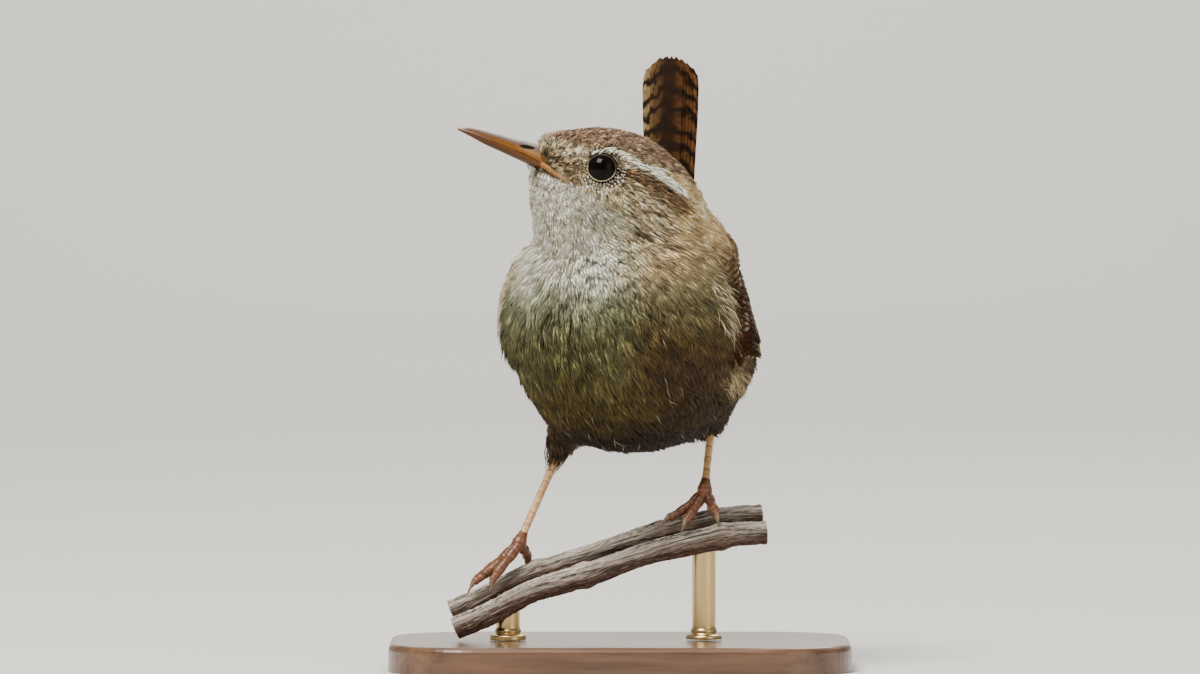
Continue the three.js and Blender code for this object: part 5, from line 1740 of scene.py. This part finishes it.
def stand_base():
    bm = bmesh.new()
    block = bmesh.ops.create_cube(bm, size=1)["verts"]
    bmesh.ops.scale(bm, vec=BASE, verts=block)
    bmesh.ops.translate(bm, vec=(0, 0, BASE[2] / 2), verts=block)
    upright = [e for e in bm.edges if abs(e.verts[0].co.z - e.verts[1].co.z) > 1]
    bmesh.ops.bevel(bm, geom=upright, offset=12, segments=14, profile=0.5, affect="EDGES", material=-1)
    rims = [e for e in bm.edges if abs(e.verts[0].co.z - e.verts[1].co.z) < 0.01 and e.verts[0].co.z > 1]
    bmesh.ops.bevel(bm, geom=rims, offset=0.9, segments=5, profile=0.5, affect="EDGES", material=-1)
    return piece_from("display_base", bm, smooth=False)


def stand_rod(name, x, y, top):
    foot = BASE[2] + 0.05

    def shape(turn, at):
        height = foot + (top - foot) * at
        collar = 0.9 * (1 - smooth_step(height, 4.7, 5.1)) + 0.25 * np.exp(-(((height - 5.4) / 0.25) ** 2))
        radius = (1.68 + collar) * closed_ends(at, 0.004, 0.02)
        angle = turn * 2 * math.pi
        return np.stack([x + radius * np.cos(angle), y + radius * np.sin(angle), height], -1)

    bm = mapped_bmesh()
    rolled(bm, 48, 80, shape)
    return piece_from("display_rod_" + name, bm)


base = stand_base()
rods = [stand_rod(name, *place) for name, place in RODS.items()]
print("base", len(base.data.polygons), "faces")

# %% [markdown]
# ## Finishes of skin and coat
# Feathers scatter light softly and have a faint sheen along their edges. The zones are painted on the
# corners, and a little fine noise breaks them up.

# %% Nodes for the finishes
def new_material(name, roughness, specular=0.5, **inputs):
    """A material with a plain shader. inputs are more of the shader's values, such as coat_weight."""
    material = bpy.data.materials.new(name)
    material.use_nodes = True
    shader = material.node_tree.nodes["Principled BSDF"]
    shader.inputs["Roughness"].default_value = roughness
    shader.inputs["Specular IOR Level"].default_value = specular
    for key, value in inputs.items():
        shader.inputs[key.replace("_", " ").title()].default_value = value
    return material, material.node_tree, shader


def node(tree, kind, **values):
    made = tree.nodes.new(kind)
    for key, value in values.items():
        setattr(made, key, value)
    return made


def coloured(tree, shader, colour):
    tree.links.new(colour, shader.inputs["Base Color"])


def painted(tree, name):
    return node(tree, "ShaderNodeAttribute", attribute_name=name).outputs["Color"]


def math_node(tree, operation, first, second=0.0, third=0.0):
    made = node(tree, "ShaderNodeMath", operation=operation)
    for socket, value in zip(made.inputs, (first, second, third)):
        if isinstance(value, (int, float)):
            socket.default_value = value
        else:
            tree.links.new(value, socket)
    return made.outputs[0]


def noise_of(tree, scale, detail=4.0, rough=0.6, stretch=None, source="Object"):
    """Noise over the piece. scale is in cycles a metre on Object coordinates."""
    place = node(tree, "ShaderNodeTexCoord").outputs["Object"]
    if source != "Object":
        place = node(tree, "ShaderNodeUVMap", uv_map=source).outputs["UV"]
    if stretch:
        mapping = node(tree, "ShaderNodeMapping")
        mapping.inputs["Scale"].default_value = stretch
        tree.links.new(place, mapping.inputs["Vector"])
        place = mapping.outputs["Vector"]
    noise = node(tree, "ShaderNodeTexNoise")
    noise.inputs["Scale"].default_value = scale
    noise.inputs["Detail"].default_value = detail
    noise.inputs["Roughness"].default_value = rough
    tree.links.new(place, noise.inputs["Vector"])
    return noise.outputs["Fac"]


def ranged(tree, value, low, high, to_low, to_high):
    made = node(tree, "ShaderNodeMapRange")
    tree.links.new(value, made.inputs["Value"])
    for name, number in (("From Min", low), ("From Max", high), ("To Min", to_low), ("To Max", to_high)):
        made.inputs[name].default_value = number
    return made.outputs["Result"]


def blended(tree, factor, first, second, blend="MIX"):
    mix = node(tree, "ShaderNodeMix", data_type="RGBA", blend_type=blend)
    for name, value in (("Factor", factor), ("A", first), ("B", second)):
        socket = mix.inputs[name]
        if isinstance(value, (int, float)):
            socket.default_value = value
        elif isinstance(value, (tuple, list)):
            socket.default_value = (*value, 1)
        else:
            tree.links.new(value, socket)
    return mix.outputs["Result"]


def mottled(tree, layer, scale, low, high, darkest, palest):
    """A painted layer, made darker and lighter in small patches."""
    patches = ranged(tree, noise_of(tree, scale), low, high, darkest, palest)
    tone = node(tree, "ShaderNodeCombineColor")
    for socket in tone.inputs[:3]:
        tree.links.new(patches, socket)
    return blended(tree, 1.0, painted(tree, layer), tone.outputs["Color"], "MULTIPLY")


def two_toned(tree, noise, low, high, first, second):
    return blended(tree, ranged(tree, noise, low, high, 0.0, 1.0), first, second)


def place_along(tree):
    """A node whose X is the turn round a rolled form, and whose Y is the way along it."""
    place = node(tree, "ShaderNodeSeparateXYZ")
    tree.links.new(node(tree, "ShaderNodeUVMap", uv_map="Place").outputs["UV"], place.inputs["Vector"])
    return place.outputs


def bumped(tree, shader, height, distance, strength=1.0):
    bump = node(tree, "ShaderNodeBump")
    bump.inputs["Distance"].default_value = distance
    bump.inputs["Strength"].default_value = strength
    tree.links.new(height, bump.inputs["Height"])
    tree.links.new(bump.outputs["Normal"], shader.inputs["Normal"])


# %% The plumage finish
def plumage_finish(name, specular, sheen):
    material, tree, shader = new_material(name, 0.75, specular, sheen_weight=sheen, sheen_roughness=0.5)
    coloured(tree, shader, mottled(tree, "Markings", 900.0, 0.3, 0.7, 0.78, 1.2))
    return material


# %% [markdown]
# ## The finish of flight feathers
# Wing and tail feathers are barred dark across a rufous ground. Painting the bars on the grid would
# need a much finer grid, so the finish draws them. Each vane carries how far along it a point is, and
# the bars bend like arrowheads towards the edges. Fine ridges stand for the feather's barbs.

# %% Bars and barbs
BARS_PER_MM = 1 / 2.9
BARBS = (170.0, -9.0)


def vane_finish():
    material, tree, shader = new_material("flight feathers", 0.6, 0.08)
    bars = node(tree, "ShaderNodeSeparateColor")
    tree.links.new(painted(tree, "Bars"), bars.inputs["Color"])
    web = node(tree, "ShaderNodeSeparateColor")
    tree.links.new(painted(tree, "Web"), web.inputs["Color"])
    length, phase, strength = bars.outputs
    wobble = ranged(tree, noise_of(tree, 420.0, 2.0), 0.3, 0.7, -0.38, 0.38)
    place = math_node(tree, "MULTIPLY_ADD", length, BAR_UNIT * BARS_PER_MM, phase)
    place = math_node(tree, "MULTIPLY_ADD", web.outputs["Green"], 0.22, place)
    place = math_node(tree, "ADD", place, wobble)
    wave = math_node(tree, "SINE", math_node(tree, "MULTIPLY", place, 2 * math.pi))
    bar = math_node(tree, "MULTIPLY", ranged(tree, wave, -0.7, 0.75, 0.0, 1.0), strength)
    ground = mottled(tree, "Ground", 1500.0, 0.3, 0.7, 0.75, 1.25)
    coloured(tree, shader, blended(tree, bar, ground, tuple(DARK)))
    barbs = math_node(tree, "MULTIPLY", length, BARBS[0])
    barbs = math_node(tree, "MULTIPLY_ADD", web.outputs["Green"], BARBS[1], barbs)
    lines = math_node(tree, "SINE", math_node(tree, "MULTIPLY", barbs, 2 * math.pi))
    bumped(tree, shader, lines, 0.00003, 0.5)
    return material


# %% [markdown]
# ## Finishes of horn, skin, eye and bark
# Horn and eye are smooth, and the eye is wet. Leg skin has a waxy shine on its scales, with a painted
# highlight at each scale's edge and painted shade in the groove below it. Bark is dry, with pale, weathered
# ridges and dark cracks that follow its fibres; its upper side is painted lighter and its underside darker,
# as painted light and shade, and its cracks hold painted shade.

# %% Horn, eyes, claws and lids
def horn_finish(name, roughness):
    material, tree, shader = new_material(name, roughness, 0.22, coat_weight=0.05, coat_roughness=0.3)
    coloured(tree, shader, mottled(tree, "Markings", 600.0, 0.3, 0.7, 0.85, 1.15))
    bumped(tree, shader, noise_of(tree, 2500.0, 3.0), 0.00002, 0.5)
    return material


def eye_finish():
    material, tree, shader = new_material("eye", 0.04, 0.04, coat_weight=0.12, coat_roughness=0.02)
    coloured(tree, shader, painted(tree, "Markings"))
    return material


def claw_finish():
    material, tree, shader = new_material("claw", 0.35, 0.5)
    patches = noise_of(tree, 900.0)
    coloured(tree, shader, two_toned(tree, patches, 0.35, 0.65, (0.26, 0.17, 0.10), (0.12, 0.07, 0.04)))
    return material


def lid_finish():
    material, tree, shader = new_material("eyelid", 0.5, 0.4)
    coloured(tree, shader, mottled(tree, "Markings", 2500.0, 0.35, 0.65, 0.7, 1.3))
    return material


# %% Scaly skin of legs and toes
def leg_finish(name, light, dark, scales):
    """Patches of two skin colours, with painted shade in the groove below each scale and a painted highlight
    at its edge.
    """
    material, tree, shader = new_material(
        name, 0.38, 0.5, coat_weight=0.06, coat_roughness=0.25,
        subsurface_weight=0.15, subsurface_radius=(0.0012, 0.0005, 0.0003),
    )
    colour = two_toned(tree, noise_of(tree, 700.0), 0.35, 0.65, light, dark)
    scale = math_node(tree, "FRACT", math_node(tree, "MULTIPLY", place_along(tree)["Y"], scales))
    # Painted shade in the groove below each scale, and a painted highlight at its edge.
    groove, edge = (0.35 * c for c in dark), (min(1.5 * c + 0.04, 0.8) for c in light)
    colour = blended(tree, ranged(tree, scale, 0.0, 0.22, 0.7, 0.0), colour, tuple(groove))
    colour = blended(tree, ranged(tree, scale, 0.6, 0.95, 0.0, 0.35), colour, tuple(edge))
    coloured(tree, shader, colour)
    bumped(tree, shader, noise_of(tree, 3500.0, 3.0), 0.00003, 0.5)
    return material


# %% Bark, and the stand's wood and brass
def bark_finish():
    """Brown mauve bark with pale fibres and dark cracks along it, painted lighter on its upper side and
    darker below as painted light and shade.
    """
    material, tree, shader = new_material("bark", 0.8, 0.2)
    fibres = noise_of(tree, 1.0, 7.0, 0.75, (52.0, 4.4, 1.0), "Place")
    cracks = noise_of(tree, 1.0, 5.0, 0.7, (24.0, 3.4, 1.0), "Place")
    broad = noise_of(tree, 1.0, 3.0, 0.6, (4.0, 9.0, 1.0), "Place")
    # The upper side is painted lighter and the underside darker: painted light from above, painted shade
    # below.
    angle = math_node(tree, "MULTIPLY_ADD", place_along(tree)["X"], 2 * math.pi, -math.pi)
    upward = math_node(tree, "ADD", math_node(tree, "COSINE", angle), -0.8)
    upward = math_node(tree, "MULTIPLY_ADD", broad, 1.6, upward)
    strands = ranged(tree, fibres, 0.40, 0.58, 0.0, 1.0)
    shaded = blended(tree, strands, (0.050, 0.028, 0.020), (0.22, 0.14, 0.105))
    sunny = blended(tree, strands, (0.13, 0.088, 0.075), (0.80, 0.74, 0.62))
    colour = two_toned(tree, upward, -0.5, 0.9, shaded, sunny)
    # The cracks are painted near black, as painted shade in them.
    colour = blended(tree, ranged(tree, cracks, 0.37, 0.45, 0.95, 0.0), colour, (0.016, 0.009, 0.007))
    lichen = ranged(tree, noise_of(tree, 450.0, 3.0), 0.66, 0.72, 0.0, 0.7)
    coloured(tree, shader, blended(tree, lichen, colour, (0.42, 0.42, 0.22)))
    relief = math_node(tree, "ADD", fibres, math_node(tree, "MULTIPLY", cracks, 1.5))
    bumped(tree, shader, relief, 0.0003, 1.0)
    return material


def wood_finish():
    material, tree, shader = new_material("stand wood", 0.32, 0.5, coat_weight=0.4, coat_roughness=0.15)
    grain = noise_of(tree, 40.0, 6.0, 0.65, (1.0, 11.0, 11.0))
    coloured(tree, shader, two_toned(tree, grain, 0.35, 0.65, (0.075, 0.032, 0.015), (0.165, 0.08, 0.038)))
    bumped(tree, shader, grain, 0.00005, 0.3)
    return material


def brass_finish():
    material, tree, shader = new_material("stand brass", 0.28, 0.5, metallic=1.0)
    brushed = noise_of(tree, 900.0, 3.0, 0.6, (1.0, 1.0, 0.05))
    coloured(tree, shader, two_toned(tree, brushed, 0.3, 0.7, (0.60, 0.42, 0.18), (0.74, 0.55, 0.27)))
    bumped(tree, shader, brushed, 0.00002, 0.3)
    return material


FINISHES = {
    "plumage": plumage_finish("plumage", 0.12, 0.04),
    "flight_feathers": vane_finish(),
    "bill": horn_finish("bill horn", 0.32),
    "eye": eye_finish(),
    "leg_skin": leg_finish("tarsus skin", (0.74, 0.46, 0.23), (0.46, 0.22, 0.095), 9),
    "bark": bark_finish(),
    "stand_wood": wood_finish(),
    "stand_brass": brass_finish(),
}
COVERT = plumage_finish("wing coverts", 0.02, 0.0)
LID = lid_finish()
TOE = leg_finish("toe skin", (0.22, 0.082, 0.028), (0.075, 0.022, 0.008), 11)
CLAW = claw_finish()
print("finishes", len(bpy.data.materials))

# %% [markdown]
# ## Riding, replacing and slots
# Each piece rides on the one body and hides the imported solids it stands for. It takes its finish from the
# table of finishes by the name of its slot, unless it is given a finish of its own.

# %% Every piece, its slot and the solids it stands for
def dress(piece, slot, *solids, finish=None):
    piece.data.materials.append(finish or FINISHES[slot])
    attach(piece, "root")
    if solids:
        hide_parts(*solids)


dress(skin, "plumage", "head", "neck", "torso", "thigh_left", "thigh_right")
for piece in coats + covers + eye_rings:
    on_the_wing = piece.name.startswith(("coverts", "shoulder"))
    dress(piece, "plumage", finish=COVERT if on_the_wing else None)
dress(wings[0], "flight_feathers", "wing_left")
dress(wings[1], "flight_feathers", "wing_right")
dress(tail, "flight_feathers", "tail")
dress(bill["upper"], "bill", "bill_upper")
dress(bill["lower"], "bill", "bill_lower")
dress(gape, "bill")
for name, eye, lid in zip(EYES, eyes, lids):
    dress(eye, "eye", "eye_" + name)
    dress(lid, "plumage", finish=LID)
for name, shin_piece, toe_piece, claw_piece in zip(LEGS, shins, toes, claws):
    dress(shin_piece, "leg_skin", "tarsus_" + name)
    dress(toe_piece, "leg_skin", "foot_" + name, finish=TOE)
    dress(claw_piece, "leg_skin", finish=CLAW)
for name, piece in zip(STEMS, stems):
    dress(piece, "bark", name)
dress(base, "stand_wood", "stand_base")
for name, piece in zip(RODS, rods):
    dress(piece, "stand_brass", "stand_rod_" + name)

# %% [markdown]
# ## Floor, light and camera
# A pale floor that curves up behind, one large soft light above and to the left, a weak fill and a
# light from behind show the coat as soft daylight would. Two more lamps over the floor behind keep it
# evenly pale from all sides. The camera stands level with the breast, far away behind a long lens, as
# the photograph was taken.

# %% Floor and backdrop
FLOOR_FRONT, FLOOR_BEND, FLOOR_HALF = -3.0, 2.3, 3.4
BEND_RADIUS, WALL_HEIGHT = 0.8, 3.0


def drawn_out(bm, edges, way):
    """Pulls edges along way, and gives the edges that end it."""
    grown = bmesh.ops.extrude_edge_only(bm, edges=edges)["geom"]
    bmesh.ops.translate(bm, verts=[g for g in grown if isinstance(g, bmesh.types.BMVert)], vec=way)
    return [g for g in grown if isinstance(g, bmesh.types.BMEdge)]


def backdrop():
    """A floor that runs back, curves up and becomes a wall."""
    bm = bmesh.new()
    bm.edges.new([bm.verts.new((x, FLOOR_FRONT, 0)) for x in (-FLOOR_HALF, FLOOR_HALF)])
    last = drawn_out(bm, bm.edges[:], (0, FLOOR_BEND - FLOOR_FRONT, 0))
    spun = bmesh.ops.spin(
        bm, geom=last, cent=(0, FLOOR_BEND, BEND_RADIUS), axis=(1, 0, 0), angle=math.pi / 2, steps=24,
        use_merge=False,
    )["geom_last"]
    drawn_out(bm, [g for g in spun if isinstance(g, bmesh.types.BMEdge)], (0, 0, WALL_HEIGHT))
    mesh = bpy.data.meshes.new("floor")
    bm.to_mesh(mesh)
    bm.free()
    mesh.shade_smooth()
    return new_piece("floor", mesh)


floor = backdrop()
floor_material, _, floor_shader = new_material("pale floor", 0.9, 0.2)
floor_shader.inputs["Base Color"].default_value = (0.72, 0.72, 0.70, 1)
floor.data.materials.append(floor_material)
print("floor", [round(v, 2) for v in floor.dimensions])


# %% Lights
LAMP_COLOUR = (1, 0.96, 0.9)
LAMPS = {
    "key": ((-0.30, -0.42, 0.90), (0, 0, 0.05), 0.5, 19),
    "fill": ((0.7, -0.7, 0.3), (0, 0, 0.05), 0.6, 1.5),
    "rear": ((0.25, 0.6, 0.7), (0, 0, 0.06), 0.5, 4),
    "backdrop": ((0, 1.4, 0.9), (0, 1.6, 0), 0.8, 9),
    "far_backdrop": ((0, 2.5, 1.0), (0, 2.9, 0), 0.9, 10),
}


def area_light(name, place, aim, size, watts):
    data = bpy.data.lights.new(name, "AREA")
    data.shape = "SQUARE"
    data.size = size
    data.energy = watts
    data.color = LAMP_COLOUR
    light = bpy.data.objects.new(name, data)
    bpy.context.scene.collection.objects.link(light)
    light.location = place
    light.rotation_euler = (Vector(aim) - Vector(place)).to_track_quat("-Z", "Y").to_euler()


for name, values in LAMPS.items():
    area_light(name, *values)
print("lamps", len(LAMPS))
world = bpy.data.worlds.new("studio")
world.use_nodes = True
world.node_tree.nodes["Background"].inputs["Color"].default_value = (1, 0.98, 0.94, 1)
world.node_tree.nodes["Background"].inputs["Strength"].default_value = 0.35
bpy.context.scene.world = world

# %% Camera
PIXELS_PER_MM = 7
FRAME_WIDE, FRAME_HIGH = 1200, 674
SENSOR_WIDE = 36
CAMERA_AWAY = 1.5
CAMERA_RISE = math.radians(1.5)
camera_data = bpy.data.cameras.new("camera")
camera_data.sensor_width = SENSOR_WIDE
camera_data.lens = SENSOR_WIDE * CAMERA_AWAY / (FRAME_WIDE / PIXELS_PER_MM * MM)
camera_data.clip_end = 20
camera = bpy.data.objects.new("camera", camera_data)
bpy.context.scene.collection.objects.link(camera)
aim = Vector((-20 / PIXELS_PER_MM * MM, -0.003, (FRAME_HIGH / 2 / PIXELS_PER_MM - 0.7) * MM))
camera.location = aim + CAMERA_AWAY * Vector((0, -math.cos(CAMERA_RISE), math.sin(CAMERA_RISE)))
camera.rotation_euler = (aim - camera.location).to_track_quat("-Z", "Y").to_euler()
bpy.context.scene.camera = camera
print("lens", round(camera_data.lens, 1), "mm")
